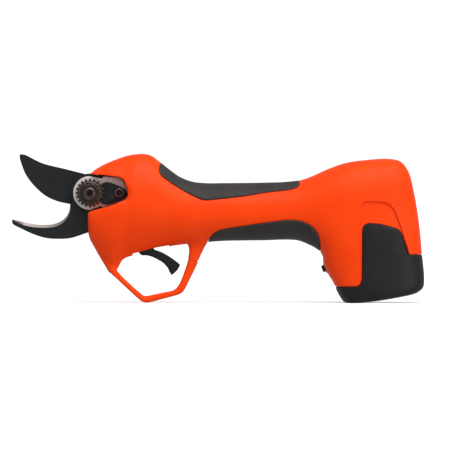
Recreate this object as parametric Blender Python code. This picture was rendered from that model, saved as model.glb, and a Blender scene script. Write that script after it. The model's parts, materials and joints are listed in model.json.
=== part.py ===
"""Battery electric pruner: two housing shells, rubber grips, a guarded trigger,
a geared blade closing on a fixed jaw, and a slide-out battery.

Frame: X runs along the tool (jaw towards -X, battery towards +X), Y is its
width (left side at -Y), Z is up. It stands on its guard and its battery.
Dimensions below are in millimetres and are turned into metres by MM.
"""

import math

import bmesh
import bpy
from mathutils import Matrix, Vector

MM = 0.001
GAP = 0.3                     # clearance between neighbouring pieces
ROUND = 20                    # sides of a plain round piece

# Blade head, in layers along Y from the left side to the right
PIVOT = (-89.8, 77.2)
NUT_Y = (-12.6, -7.6)
NUT_RADIUS = 10.3
NUT_TEETH = 20
COVER_Y = (-7.3, -5.1)
JAW_Y = (-4.8, -0.3)
BLADE_Y = (0.0, 3.2)
GEAR_Y = (7.4, 10.2)
FRAME_Y = (10.8, 12.8)
BOLT_RADIUS = 3.7
BUSH_RADIUS = 5.2
LOCK_SCREW = (-69.3, 77.3)
JAW_SCREWS = ((-82.4, 53.4), (-75.6, 52.4))

# Bevel drive: the shaft runs back from the pivot through gearbox and motor
DRIVE_TILT = math.radians(8.0)
DRIVE_Y = 1.5
GEAR_RADIUS = 20.0
GEAR_TEETH = 36
PINION_TEETH = 9
PINION_SPAN = (13.6, 19.6)
BEARING_SPAN = (31.0, 36.6)
GEARBOX_SPAN = (38.4, 73.0)
MOTOR_SPAN = (73.4, 125.0)
MOTOR_RADIUS = 12.3

# Shell walls
HANDLE_WALL = 2.3
TAIL_WALL = 4.4
SPINE = 4.0                   # half-width of the orange spine between the upper grips

# Battery: its own axes lean back, u runs along its base and w up its height
PACK_ORIGIN = (91.4, 0.0)
PACK_LEAN = math.radians(7.3)
CELL_RADIUS = 9.1
CELL_LENGTH = 65.0
CELL_PITCH = 18.5
CELL_BASE = 10.0
SLEEVE_U = (-5.0, 53.0)
SLEEVE_HALF_Y = 18.6
SLEEVE_TOP = 81.0
SLEEVE_WALL = 1.2
SLEEVE_CORNER = 10.5          # rounded round the outer cells

TRIGGER_PIVOT = (-53.5, 45.0)
TRIGGER_HALF_Y = 4.6
GUARD_HALF_Y = 5.8
BUTTON_FACE = (75.6, 24.5)
BUTTON_NORMAL = Vector((-0.94, 0.0, -0.342)).normalized()

# Body stations, front to back. Each is a chord from a lower point to an upper
# point, with half-widths low, middle and top, and the squareness of its section.
STATIONS = [
    # low x, low z, top x, top z, w low, w mid, w top, square, wall
    (-92.0, 57.0, -91.0, 89.6, 15.5, 18.5, 14.5, 3.2, 2.3),
    (-90.9, 47.0, -87.0, 93.3, 15.0, 19.5, 15.0, 3.2, 2.3),
    (-86.1, 37.1, -80.0, 97.4, 12.0, 20.0, 15.5, 3.0, 2.3),
    (-80.2, 27.2, -72.0, 100.8, 8.0, 20.2, 15.5, 2.9, 2.3),
    (-75.0, 20.4, -64.0, 103.5, 5.8, 20.0, 15.5, 2.8, 2.3),
    (-70.6, 24.0, -60.0, 104.3, 6.0, 20.2, 15.5, 2.8, 2.3),
    (-67.2, 30.3, -57.0, 104.6, 8.0, 20.3, 15.5, 2.8, 2.3),
    (-57.8, 33.7, -53.5, 104.8, 11.5, 20.2, 15.3, 2.7, 2.3),
    (-47.0, 37.0, -47.0, 103.6, 13.0, 19.8, 15.0, 2.6, 2.3),
    (-38.0, 38.9, -40.8, 99.0, 13.5, 19.2, 14.8, 2.6, 2.3),
    (-30.0, 40.3, -33.8, 93.4, 13.8, 18.6, 14.5, 2.5, 2.3),
    (-22.5, 41.2, -26.7, 88.5, 14.0, 18.2, 14.2, 2.5, 2.3),
    (-15.0, 42.0, -18.7, 85.4, 14.0, 18.0, 14.0, 2.5, 2.3),
    (-6.0, 43.1, -9.0, 84.2, 14.0, 18.0, 14.0, 2.5, 2.3),
    (4.0, 43.8, 3.0, 84.2, 14.0, 18.2, 14.0, 2.5, 2.3),
    (18.0, 44.1, 18.0, 84.3, 14.2, 18.5, 14.2, 2.5, 2.3),
    (34.0, 44.3, 33.6, 84.5, 14.5, 18.8, 14.5, 2.5, 2.3),
    (49.9, 44.7, 47.0, 84.9, 15.0, 19.2, 15.0, 2.6, 2.4),
    (57.0, 44.0, 57.0, 86.0, 15.5, 20.0, 15.5, 2.7, 2.6),
    (63.4, 41.5, 66.0, 89.0, 16.5, 21.2, 16.5, 2.8, 3.0),
    (70.4, 37.6, 77.0, 94.0, 18.0, 22.6, 18.0, 3.0, 3.6),
    (73.6, 32.6, 90.0, 98.5, 19.0, 23.6, 19.0, 3.2, 4.2),
    (74.0, 29.0, 105.2, 100.6, 19.5, 24.2, 19.5, 3.4, 4.4),
    (75.4, 24.0, 121.4, 101.2, 20.0, 24.5, 20.0, 3.6, 4.4),
    (77.4, 20.3, 128.6, 99.4, 20.5, 24.5, 20.3, 3.8, 4.4),
    (79.0, 17.6, 133.7, 92.8, 20.8, 24.5, 20.6, 4.0, 4.4),
    (80.6, 15.2, 137.5, 78.8, 21.0, 24.5, 21.0, 4.0, 4.4),
    (81.6, 13.2, 140.7, 60.2, 21.2, 24.5, 21.5, 4.0, 4.4),
    (82.6, 11.1, 143.3, 35.1, 21.5, 24.5, 22.0, 4.0, 4.4),
    (84.0, 7.6, 144.9, 16.5, 21.5, 24.3, 22.0, 4.0, 4.4),
    (85.8, 4.2, 144.3, 10.8, 21.0, 24.0, 21.6, 4.0, 4.4),
    (87.4, 1.8, 140.5, 7.3, 20.4, 23.4, 21.0, 4.0, 4.4),
    (88.6, 0.7, 128.0, 4.0, 19.6, 22.6, 20.4, 4.0, 4.4),
    (89.4, 0.2, 113.3, 1.5, 19.0, 21.8, 19.6, 4.0, 4.4),
    (90.2, 0.0, 100.0, 0.0, 18.4, 20.6, 18.4, 4.0, 4.4),
]
FIRST_HOLLOW = 2
LAST_HOLLOW = 28

# Side-view outlines (x, z)
UPPER_GRIP = [(-39.3, 104.0), (-41.7, 91.0), (-33.4, 84.5), (-20.7, 76.8), (-11.7, 72.5),
              (-8.0, 72.1), (6.4, 73.6), (20.0, 75.2), (33.6, 77.7), (47.2, 79.1),
              (54.4, 80.6), (57.1, 82.7), (55.6, 92.0), (0.0, 95.0)]
LOWER_GRIP = [(-7.9, 38.0), (-7.3, 43.2), (-5.3, 46.0), (-1.7, 49.7), (3.7, 51.7),
              (20.0, 54.2), (33.6, 56.2), (47.2, 58.0), (54.4, 58.0), (60.7, 56.5),
              (66.2, 53.3), (69.8, 48.8), (71.4, 42.4), (71.6, 32.0)]
GUARD_OUTER = [(-75.0, 20.1), (-70.8, 16.4), (-64.1, 10.1), (-57.4, 3.9), (-54.4, 1.4),
               (-51.8, 0.1), (-48.8, 0.1), (-39.1, 2.6), (-28.6, 5.4), (-25.3, 7.0),
               (-23.3, 9.6), (-19.3, 17.7), (-15.3, 25.8), (-13.9, 29.4)]
GUARD_INNER = [(-21.2, 29.8), (-22.5, 25.3), (-25.3, 17.7), (-27.7, 12.5), (-30.2, 9.6),
               (-32.6, 8.4), (-38.7, 7.2), (-50.8, 4.8), (-53.8, 6.1), (-59.6, 11.1),
               (-66.3, 17.3), (-71.2, 22.6)]
REAR_STUB = [(-21.1, 30.1), (-13.6, 29.8), (-12.5, 32.6), (-10.0, 38.0), (-7.0, 43.0),
             (-6.0, 47.5), (-25.0, 47.5), (-22.4, 41.6), (-20.3, 40.0), (-20.1, 37.0)]
TRIGGER = [(-55.8, 35.4), (-53.6, 33.4), (-49.6, 33.2), (-44.8, 31.6), (-39.1, 28.4),
           (-35.8, 25.0), (-33.9, 21.3), (-32.8, 19.4), (-29.4, 22.2), (-26.6, 26.0),
           (-27.4, 27.6), (-32.6, 31.4), (-39.1, 35.3), (-44.8, 37.4), (-49.0, 45.6),
           (-51.2, 48.8), (-55.4, 48.9), (-57.9, 46.0), (-57.9, 41.0)]
BLADE = [(-139.8, 103.9), (-136.3, 104.1), (-123.3, 98.1), (-107.0, 94.0), (-92.0, 90.2),
         (-80.6, 86.4), (-77.0, 77.2), (-81.0, 68.0), (-89.8, 64.4), (-96.0, 66.4),
         (-103.9, 69.3), (-113.3, 71.5), (-121.8, 75.5), (-129.7, 82.6), (-135.5, 90.5),
         (-139.1, 99.9)]
JAW = [(-144.9, 58.6), (-144.1, 55.3), (-140.5, 53.2), (-129.7, 48.2), (-121.1, 45.6),
       (-112.5, 44.9), (-103.2, 45.6), (-92.1, 49.2), (-82.0, 49.2), (-80.0, 47.4),
       (-73.0, 48.0), (-71.0, 52.0), (-72.0, 58.0), (-78.5, 67.0), (-76.6, 77.2), (-80.4, 86.8),
       (-89.8, 90.9), (-98.0, 87.8), (-102.6, 82.0), (-103.6, 76.0), (-104.5, 69.0),
       (-104.6, 64.7), (-106.8, 60.7), (-110.4, 57.5), (-116.1, 55.3), (-123.3, 54.8),
       (-129.7, 55.3), (-135.5, 56.4)]
COVER = [(-91.4, 89.0), (-81.6, 89.0), (-68.7, 87.8), (-66.8, 86.6), (-64.4, 81.2),
         (-63.5, 76.2), (-64.5, 73.2), (-74.5, 69.0), (-81.7, 66.9), (-88.8, 65.4),
         (-95.6, 67.0), (-100.6, 71.9), (-101.7, 77.2), (-100.2, 82.8), (-96.4, 87.1)]
LOCK_PLATE = [(-84.5, 82.3), (-78.6, 84.9), (-75.0, 84.3), (-69.0, 82.0), (-64.8, 79.6),
              (-63.6, 76.6), (-64.8, 74.3), (-68.6, 72.0), (-73.5, 69.8), (-79.9, 68.6),
              (-84.5, 72.0)]
POCKET = [(-100.0, 90.6), (-90.7, 90.4), (-80.0, 89.8), (-69.0, 88.3), (-66.2, 86.8),
          (-63.8, 81.4), (-62.9, 76.0), (-64.1, 72.7), (-73.5, 68.6), (-87.4, 64.8),
          (-92.3, 63.0), (-100.0, 62.0)]
RECESS = [(99.2, 5.0), (99.5, 66.7), (101.2, 70.7), (105.2, 71.4), (117.3, 70.7),
          (121.4, 68.2), (124.6, 62.6), (129.4, 48.9), (135.0, 31.0), (135.0, 5.0)]
TONGUE = [(100.9, 34.2), (100.9, 52.0), (102.4, 54.8), (105.2, 55.9), (113.3, 55.3),
          (124.6, 52.4), (127.6, 50.2), (129.4, 45.6), (133.2, 34.2)]
LATCH_WELL = [(100.9, 5.0)] + TONGUE[1:-1] + [(133.2, 34.2), (133.2, 5.0)]
BATTERY_ZONE = [(60.0, 11.0), (82.6, 11.1), (97.1, 11.4), (99.5, 12.8), (100.9, 17.0),
                (100.9, 33.6), (150.0, 33.9), (150.0, -20.0), (60.0, -20.0)]
SLOT = [(-120.0, 48.6), (-79.0, 48.6), (-76.0, 91.2), (-120.0, 91.2)]
NOSE_RADIUS = 13.4

# Housing screws (x, z), driven in from the right
HOUSING_SCREWS = [(-70.0, 94.6), (-79.0, 41.0), (-66.4, 43.0), (-48.0, 95.6), (-14.5, 48.2),
                  (45.0, 64.0), (63.0, 79.6), (89.0, 92.4), (125.0, 94.0)]

# name: base colour, roughness, metallic
FINISHES = {
    "orange_housing": ((1.0, 0.075, 0.012, 1.0), 0.42, 0.0),
    "black_rubber": ((0.040, 0.036, 0.033, 1.0), 0.75, 0.0),
    "black_plastic": ((0.015, 0.016, 0.018, 1.0), 0.50, 0.0),
    "coated_blade": ((0.016, 0.018, 0.022, 1.0), 0.38, 0.6),
    "dark_steel": ((0.055, 0.045, 0.040, 1.0), 0.40, 0.9),
    "bright_steel": ((0.68, 0.62, 0.59, 1.0), 0.28, 1.0),
    "brass": ((0.70, 0.48, 0.20, 1.0), 0.35, 1.0),
    "board_green": ((0.02, 0.16, 0.07, 1.0), 0.50, 0.0),
    "cell_wrap": ((0.06, 0.22, 0.42, 1.0), 0.40, 0.0),
}


def clear_scene():
    for item in list(bpy.data.objects):
        bpy.data.objects.remove(item, do_unlink=True)


def material(finish):
    found = bpy.data.materials.get(finish)
    if found:
        return found
    colour, roughness, metallic = FINISHES[finish]
    made = bpy.data.materials.new(finish)
    made.use_nodes = True
    shader = made.node_tree.nodes["Principled BSDF"]
    shader.inputs["Base Color"].default_value = colour
    shader.inputs["Roughness"].default_value = roughness
    shader.inputs["Metallic"].default_value = metallic
    made.diffuse_color = colour
    return made


def add_object(name, mesh, finish=None):
    item = bpy.data.objects.new(name, mesh)
    bpy.context.collection.objects.link(item)
    if finish:
        mesh.materials.clear()
        mesh.materials.append(material(finish))
        mesh.shade_smooth()
        mesh.set_sharp_from_angle(angle=math.radians(32))
    return item


def mesh_from_rings(name, rings, closed_loop=False):
    """Joins equal rings of points into a closed skin; caps the two ends."""
    bm = bmesh.new()
    grid = [[bm.verts.new(Vector(p) * MM) for p in ring] for ring in rings]
    count = len(rings[0])
    pairs = list(zip(grid, grid[1:]))
    if closed_loop:
        pairs.append((grid[-1], grid[0]))
    for first, second in pairs:
        for i in range(count):
            j = (i + 1) % count
            bm.faces.new((first[i], first[j], second[j], second[i]))
    if not closed_loop:
        bm.faces.new(grid[0])
        bm.faces.new(grid[-1])
    bmesh.ops.recalc_face_normals(bm, faces=bm.faces)
    mesh = bpy.data.meshes.new(name)
    bm.to_mesh(mesh)
    bm.free()
    return mesh


def prism(name, outline, y_span, finish=None, bevel=0.0):
    """An outline in the side view, extruded across the width."""
    rings = [[(x, y, z) for x, z in outline] for y in y_span]
    item = add_object(name, mesh_from_rings(name, rings), finish)
    if bevel:
        edge = item.modifiers.new("edge", "BEVEL")
        edge.width = bevel * MM
        edge.segments = 1
        edge.limit_method = "ANGLE"
        edge.angle_limit = math.radians(50)
    return item


def turned(name, profile, origin, axis, finish=None, sides=ROUND):
    """A turned piece: profile is (distance along axis, radius) pairs."""
    axis = Vector(axis).normalized()
    across = axis.cross(Vector((0.0, 1.0, 0.0) if abs(axis.y) < 0.9 else (1.0, 0.0, 0.0)))
    across.normalize()
    third = axis.cross(across)
    rings = []
    for along, radius in profile:
        centre = Vector(origin) + axis * along
        ring = []
        for i in range(sides):
            angle = 2.0 * math.pi * i / sides
            ring.append(centre + across * radius * math.cos(angle) + third * radius * math.sin(angle))
        rings.append(ring)
    closed = profile[0] == profile[-1]
    if closed:
        rings = rings[:-1]
    return add_object(name, mesh_from_rings(name, rings, closed), finish)


def turned_y(name, profile, centre, finish=None, sides=ROUND):
    """A turned piece on a left-to-right axis: profile is (y, radius) pairs."""
    return turned(name, profile, (centre[0], 0.0, centre[1]), (0.0, 1.0, 0.0), finish, sides)


def tube(first, last, outer, inner):
    """The closed profile of a ring from first to last."""
    return [(first, outer), (last, outer), (last, inner), (first, inner), (first, outer)]


def block(name, centre, size, axes=None, finish=None):
    """A box with its own axes (rows of axes), centred on a point."""
    axes = axes or (Vector((1, 0, 0)), Vector((0, 1, 0)), Vector((0, 0, 1)))
    u, v, w = (axes[k] * size[k] / 2.0 for k in range(3))
    rings = []
    for side in (-1.0, 1.0):
        base = Vector(centre) + w * side
        rings.append([base - u - v, base + u - v, base + u + v, base - u + v])
    return add_object(name, mesh_from_rings(name, rings), finish)


def as_cutter(item):
    item.hide_render = True
    item.display_type = "WIRE"
    return item


def combine(target, other, operation="DIFFERENCE"):
    """Adds a Boolean and hides its cutter. The lofted body's sections aren't flat
    quads, on which the exact solver drops slivers, so the manifold one is used."""
    step = target.modifiers.new(other.name, "BOOLEAN")
    step.operation = operation
    step.solver = "MANIFOLD"
    step.object = as_cutter(other)
    return target


def freeze(item, name=None, finish=None):
    """Turns an object and its modifiers into a plain mesh object."""
    bpy.context.view_layer.update()
    graph = bpy.context.evaluated_depsgraph_get()
    mesh = bpy.data.meshes.new_from_object(item.evaluated_get(graph))
    return add_object(name or item.name + "_solid", mesh, finish)


def set_origin(item, point):
    """Moves an object's origin to a point without moving its shape."""
    shift = Vector(point) * MM
    item.data.transform(Matrix.Translation(-shift))
    item.location = shift


def grow(outline, distance):
    """Offsets a closed outline outwards by a distance, mitred at its corners."""
    area = sum(a[0] * b[1] - b[0] * a[1] for a, b in zip(outline, outline[1:] + outline[:1]))
    turn = 1.0 if area > 0 else -1.0
    moved = []
    for i, point in enumerate(outline):
        before = Vector(outline[i - 1])
        after = Vector(outline[(i + 1) % len(outline)])
        here = Vector(point)
        first = (here - before).normalized()
        second = (after - here).normalized()
        normal = Vector((first.y + second.y, -first.x - second.x)).normalized() * turn
        stretch = max(0.5, normal.dot(Vector((first.y, -first.x)) * turn))
        moved.append(tuple(here + normal * distance / stretch))
    return moved


# --- the body's lofted shape ------------------------------------------------

def station_ring(station, inset=0.0, sides=20):
    """One section of the body. A wall inset pulls it in on every side."""
    low_x, low_z, top_x, top_z, w_low, w_mid, w_top, square, _wall = station
    low = Vector((low_x, low_z))
    top = Vector((top_x, top_z))
    middle = (low + top) / 2.0
    half = (top - low) / 2.0
    half -= half.normalized() * min(inset, half.length * 0.8)
    peak = 2.0 * w_mid - (w_low + w_top) / 2.0
    ring = []
    for i in range(sides):
        angle = 2.0 * math.pi * i / sides
        along = math.copysign(abs(math.cos(angle)) ** (2.0 / square), math.cos(angle))
        across = math.copysign(abs(math.sin(angle)) ** (2.0 / square), math.sin(angle))
        t = (along + 1.0) / 2.0
        width = w_low * (1 - t) ** 2 + 2.0 * peak * t * (1 - t) + w_top * t * t - inset
        spot = middle + half * along
        ring.append((spot.x, width * across, spot.y))
    return ring


def body_loft(name, first=0, last=None, inset=None):
    """The body between two stations; inset None uses each station's own wall."""
    chosen = STATIONS[first:last]
    rings = [station_ring(s, s[8] if inset is None else inset) for s in chosen]
    return add_object(name, mesh_from_rings(name, rings))


def skin_patch(name, outline, side, inner, outer, y_from, finish):
    """A piece of the body's skin between two insets, inside a side-view outline."""
    skin = body_loft(name + "_outer", 0, None, outer)
    core = as_cutter(body_loft(name + "_core", 0, None, inner))
    span = (y_from, 40.0) if side > 0 else (-40.0, -y_from)
    window = as_cutter(prism(name + "_window", outline, span))
    combine(skin, core)
    combine(skin, window, "INTERSECT")
    piece = freeze(skin, name, finish)
    for scrap in (skin, core, window):
        bpy.data.objects.remove(scrap, do_unlink=True)
    return piece


def pack_point(u, w, y=0.0):
    """A point in the battery's own leaning axes."""
    cos, sin = math.cos(PACK_LEAN), math.sin(PACK_LEAN)
    return (PACK_ORIGIN[0] + u * cos - w * sin, y, PACK_ORIGIN[1] + u * sin + w * cos)


def pack_axes():
    cos, sin = math.cos(PACK_LEAN), math.sin(PACK_LEAN)
    return Vector((cos, 0, sin)), Vector((0, 1, 0)), Vector((-sin, 0, cos))


def pack_block(name, u_span, w_span, half_y, finish=None):
    centre = pack_point(sum(u_span) / 2.0, sum(w_span) / 2.0)
    size = (u_span[1] - u_span[0], 2.0 * half_y, w_span[1] - w_span[0])
    return block(name, centre, size, pack_axes(), finish)


def pack_sleeve(name, grow_by, w_span):
    """A post along the battery's height, with the sleeve's rounded section."""
    corner = SLEEVE_CORNER + grow_by
    centres = [(SLEEVE_U[1] - SLEEVE_CORNER, 1.0), (SLEEVE_U[0] + SLEEVE_CORNER, 1.0),
               (SLEEVE_U[0] + SLEEVE_CORNER, -1.0), (SLEEVE_U[1] - SLEEVE_CORNER, -1.0)]
    section = []
    for quarter, (u, side) in enumerate(centres):
        for step in range(7):
            angle = math.pi / 2.0 * (quarter + step / 6.0)
            y = side * (SLEEVE_HALF_Y - SLEEVE_CORNER)
            section.append((u + corner * math.cos(angle), y + corner * math.sin(angle)))
    rings = [[pack_point(u, w, y) for u, y in section] for w in w_span]
    return add_object(name, mesh_from_rings(name, rings))


def drive_point(distance, y=DRIVE_Y):
    """A point on the drive shaft's line, at a distance behind the blade pivot."""
    return (PIVOT[0] + distance * math.cos(DRIVE_TILT), y,
            PIVOT[1] - distance * math.sin(DRIVE_TILT))


def drive_axis():
    return Vector((math.cos(DRIVE_TILT), 0.0, -math.sin(DRIVE_TILT)))


def drive_turned(name, profile, finish=None, sides=ROUND):
    origin = (PIVOT[0], DRIVE_Y, PIVOT[1])
    return turned(name, profile, origin, drive_axis(), finish, sides)


# --- housing ----------------------------------------------------------------

def screw_holes(body):
    """Bosses, cut back to stay under the skin, with holes entered from the right."""
    for i, spot in enumerate(HOUSING_SCREWS):
        boss = turned_y(f"boss_{i}", [(-30.0, 3.4), (30.0, 3.4)], spot, sides=12)
        combine(boss, body_loft(f"boss_limit_{i}", inset=1.2), "INTERSECT")
        combine(body, freeze(boss), "UNION")
    for i, spot in enumerate(HOUSING_SCREWS):
        steps = [(-9.4, 1.5), (4.2, 1.5), (4.3, 2.9), (32.0, 2.9)]
        combine(body, turned_y(f"screw_hole_{i}", steps, spot, sides=12))


def head_bay(name, y_span, roof):
    """Room in the head for the gear or the frame: round in front, open to the rear."""
    front = [math.radians(d) for d in range(95, 251, 17)]
    arc = [(PIVOT[0] + 11.4 * math.cos(a), PIVOT[1] + 11.4 * math.sin(a)) for a in front]
    rest = [(-88.6, 60.0), (-88.0, 47.2), (-71.0, 44.6), (-67.0, roof - 0.4), (-79.0, roof)]
    return prism(name, arc + rest, y_span)


def housing_body():
    """Both shells in one piece, before they are split down the middle."""
    body = body_loft("body", 0, None, 0.0)
    combine(body, prism("battery_opening", grow(BATTERY_ZONE, GAP), (-40.0, 40.0)))
    combine(body, prism("rear_stub", REAR_STUB, (-GUARD_HALF_Y, GUARD_HALF_Y)), "UNION")
    cavity = body_loft("cavity_loft", FIRST_HOLLOW, LAST_HOLLOW)
    keep = prism("left_head_block", [(-110, 0), (-61.6, 0), (-61.6, 120), (-110, 120)], (-40.0, -5.1))
    combine(cavity, keep)
    combine(cavity, pack_sleeve("battery_bay", 0.4, (-20.0, SLEEVE_TOP + 0.5)), "UNION")
    combine(body, freeze(cavity, "cavity"))
    screw_holes(body)
    nose = [(4.0, NOSE_RADIUS), (16.4, NOSE_RADIUS), (18.2, NOSE_RADIUS - 1.6)]
    combine(body, turned_y("gear_nose", nose, PIVOT, sides=28), "UNION")
    combine(body, head_bay("gear_bay", (3.0, GEAR_Y[1] + GAP), 93.4))
    combine(body, head_bay("frame_bay", (GEAR_Y[1], FRAME_Y[1] + GAP), 90.6))
    combine(body, turned_y("bolt_room", [(12.0, 8.2), (16.4, 8.2)], PIVOT))
    combine(body, prism("front_slot", SLOT, (-5.5, 3.7)))
    combine(body, prism("nut_pocket", POCKET, (-40.0, -4.0)))
    slot = [(-60.2, 30.0), (-34.5, 30.0), (-34.5, 42.0), (-45.0, 50.5), (-60.2, 50.5)]
    combine(body, prism("trigger_slot", slot, (-TRIGGER_HALF_Y - 0.5, TRIGGER_HALF_Y + 0.5)))
    pin_bore = [(-9.0, 1.5), (9.0, 1.5)]
    combine(body, turned_y("trigger_pin_bore", pin_bore, TRIGGER_PIVOT, sides=12))
    face = (BUTTON_FACE[0], 0.0, BUTTON_FACE[1])
    combine(body, turned("button_hole", [(-9.0, 4.0), (6.0, 4.0)], face, BUTTON_NORMAL, sides=16))
    return freeze(body, "body_hollow")


def skin_pocket(name, outline, side, depth, y_from):
    """A cutter that takes the skin away to a depth inside an outline."""
    return skin_patch(name, grow(outline, 0.15), side, depth, -6.0, y_from, None)


def make_housing():
    body = housing_body()
    for side, label in ((-1, "left"), (1, "right")):
        half = as_cutter(block("half_space_" + label, (20.0, side * 50.1, 50.0), (400, 100, 300)))
        shell = add_object("shell_" + label, body.data.copy())
        combine(shell, half, "INTERSECT")
        upper = skin_pocket("upper_inset_" + label, UPPER_GRIP, side, 1.65, SPINE - 0.15)
        lower = skin_pocket("lower_inset_" + label, LOWER_GRIP, side, 1.65, -1.0)
        recess = skin_pocket("tail_recess_" + label, RECESS, side, 1.3, 4.0)
        well = skin_pocket("latch_well_" + label, grow(LATCH_WELL, 0.35), side, 3.4, 4.0)
        for cutter in (upper, lower, recess, well):
            combine(shell, cutter)
        freeze(shell, "housing_" + label, "orange_housing")
        skin_patch("grip_upper_" + label, UPPER_GRIP, side, 1.4, -0.35, SPINE, "black_rubber")
        skin_patch("grip_lower_" + label, LOWER_GRIP, side, 1.4, -0.35, 0.15, "black_rubber")


def make_guard():
    span = (-GUARD_HALF_Y, GUARD_HALF_Y)
    prism("trigger_guard", GUARD_OUTER + GUARD_INNER, span, "orange_housing", 1.4)


def make_housing_screws():
    for i, spot in enumerate(HOUSING_SCREWS):
        steps = [(-8.8, 1.2), (4.6, 1.2), (4.7, 2.6), (7.0, 2.6)]
        turned_y(f"housing_screw_{i + 1}", steps, spot, "dark_steel", 12)


# --- blade head -------------------------------------------------------------

def toothed_ring(radius, depth, teeth, phase=0.0, root=0.30, tip=0.26):
    """Points of a toothed outline round the origin; tooth 0 points along phase."""
    points = []
    for i in range(teeth):
        middle = phase + 2.0 * math.pi * i / teeth
        pitch = 2.0 * math.pi / teeth
        for offset, reach in ((-root, radius - depth), (-tip / 2.0, radius),
                              (tip / 2.0, radius), (root, radius - depth)):
            angle = middle + offset * pitch
            points.append((reach * math.cos(angle), reach * math.sin(angle)))
    return points


def around_pivot(points):
    return [(PIVOT[0] + x, PIVOT[1] + z) for x, z in points]


def pivot_cutter(name, radius):
    return turned_y(name, [(-30.0, radius), (30.0, radius)], PIVOT)


def make_nut():
    outline = around_pivot(toothed_ring(NUT_RADIUS, 1.5, NUT_TEETH, math.pi / 2.0))
    nut = prism("nut_body", outline, NUT_Y)
    collar = turned_y("nut_collar", [(NUT_Y[0] - 1.0, 6.6), (NUT_Y[0] + 1.0, 7.0)], PIVOT)
    combine(nut, collar, "UNION")
    combine(nut, pivot_cutter("nut_bore", BOLT_RADIUS + 0.2))
    return freeze(nut, "adjusting_nut", "dark_steel")


def make_bolt():
    steps = [(-14.2, 3.3), (-13.7, BOLT_RADIUS), (FRAME_Y[1] + 0.3, BOLT_RADIUS),
             (FRAME_Y[1] + 0.35, 7.6), (16.0, 7.2)]
    bolt = turned_y("bolt_body", steps, PIVOT)
    combine(bolt, turned_y("bolt_socket", [(-18.0, 1.5), (-11.5, 1.5)], PIVOT, sides=12))
    return freeze(bolt, "pivot_bolt", "dark_steel")


def make_jaw():
    jaw = prism("jaw_body", JAW, JAW_Y)
    combine(jaw, pivot_cutter("jaw_bore", BOLT_RADIUS + 0.2))
    for i, spot in enumerate(JAW_SCREWS):
        combine(jaw, turned_y(f"jaw_hole_{i}", [(-9.0, 1.8), (2.0, 1.8)], spot, sides=12))
    freeze(jaw, "fixed_jaw", "coated_blade")


def make_blade():
    blade = prism("blade_body", BLADE, BLADE_Y)
    combine(blade, pivot_cutter("blade_bore", BUSH_RADIUS + 0.2))
    piece = freeze(blade, "moving_blade", "coated_blade")
    set_origin(piece, (PIVOT[0], 0.0, PIVOT[1]))


def make_cover_and_lock():
    cover = prism("cover_body", COVER, COVER_Y)
    combine(cover, pivot_cutter("cover_bore", BOLT_RADIUS + 0.2))
    combine(cover, turned_y("cover_hole", [(-9.0, 1.3), (-3.0, 1.3)], LOCK_SCREW, sides=12))
    freeze(cover, "cover_plate", "bright_steel")
    lock = prism("lock_body", LOCK_PLATE, (-10.4, -7.6))
    teeth = around_pivot(toothed_ring(NUT_RADIUS + 0.3, 1.5, NUT_TEETH, math.pi / 2.0, 0.36, 0.38))
    combine(lock, prism("lock_mesh", teeth, (-20.0, 0.0)))
    combine(lock, turned_y("lock_hole", [(-12.0, 1.7), (-3.0, 1.7)], LOCK_SCREW, sides=12))
    freeze(lock, "lock_plate", "dark_steel")
    screw = turned_y("lock_screw_body", [(-12.6, 3.0), (-10.7, 3.2), (-10.65, 1.4), (-7.6, 1.4),
                                         (-7.5, 1.1), (-5.3, 1.1)], LOCK_SCREW, sides=16)
    combine(screw, turned_y("lock_socket", [(-14.0, 1.6), (-11.4, 1.6)], LOCK_SCREW, sides=6))
    freeze(screw, "lock_screw", "bright_steel")


def make_frame():
    """The bracket that carries the jaw, the bolt head and the pinion bearing."""
    front = [math.radians(d) for d in range(100, 251, 25)]
    plate = [(PIVOT[0] + 10.8 * math.cos(a), PIVOT[1] + 10.8 * math.sin(a)) for a in front]
    plate += [(-87.6, 60.0), (-87.2, 48.4), (-72.5, 47.0), (-66.0, 62.4), (-55.0, 65.6),
              (-54.0, 80.0), (-66.0, 85.0), (-80.0, 89.6)]
    frame = prism("frame_plate", plate, FRAME_Y)
    for i, spot in enumerate(JAW_SCREWS):
        post = turned_y(f"jaw_post_{i}", [(0.0, 3.2), (12.0, 3.2)], spot, sides=12)
        combine(frame, post, "UNION")
    combine(frame, drive_turned("bearing_block", [(30.4, 11.4), (37.2, 11.4)]), "UNION")
    combine(frame, drive_turned("bearing_bore", [(10.0, 7.3), (50.0, 7.3)]))
    combine(frame, pivot_cutter("frame_bore", BOLT_RADIUS + 0.2))
    for i, spot in enumerate(JAW_SCREWS):
        combine(frame, turned_y(f"post_hole_{i}", [(-2.0, 1.2), (9.0, 1.2)], spot, sides=12))
        turned_y(f"jaw_screw_{i + 1}", [(-5.0, 1.0), (8.0, 1.0)], spot, "dark_steel", 12)
    freeze(frame, "head_frame", "bright_steel")


def sector_outline():
    """The gear's toothed part below the shaft line, closed through its hub. A gap
    between two teeth faces the pinion when the blade is open."""
    phase = math.pi / GEAR_TEETH - DRIVE_TILT
    full = toothed_ring(GEAR_RADIUS, 1.6, GEAR_TEETH, phase, 0.34, 0.22)
    below = 4 * 7
    points = full[-below:] + full[:4]
    hub = [(7.5 * math.cos(a), 7.5 * math.sin(a)) for a in
           (math.radians(d) for d in range(60, 271, 30))]
    return points + hub


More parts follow.
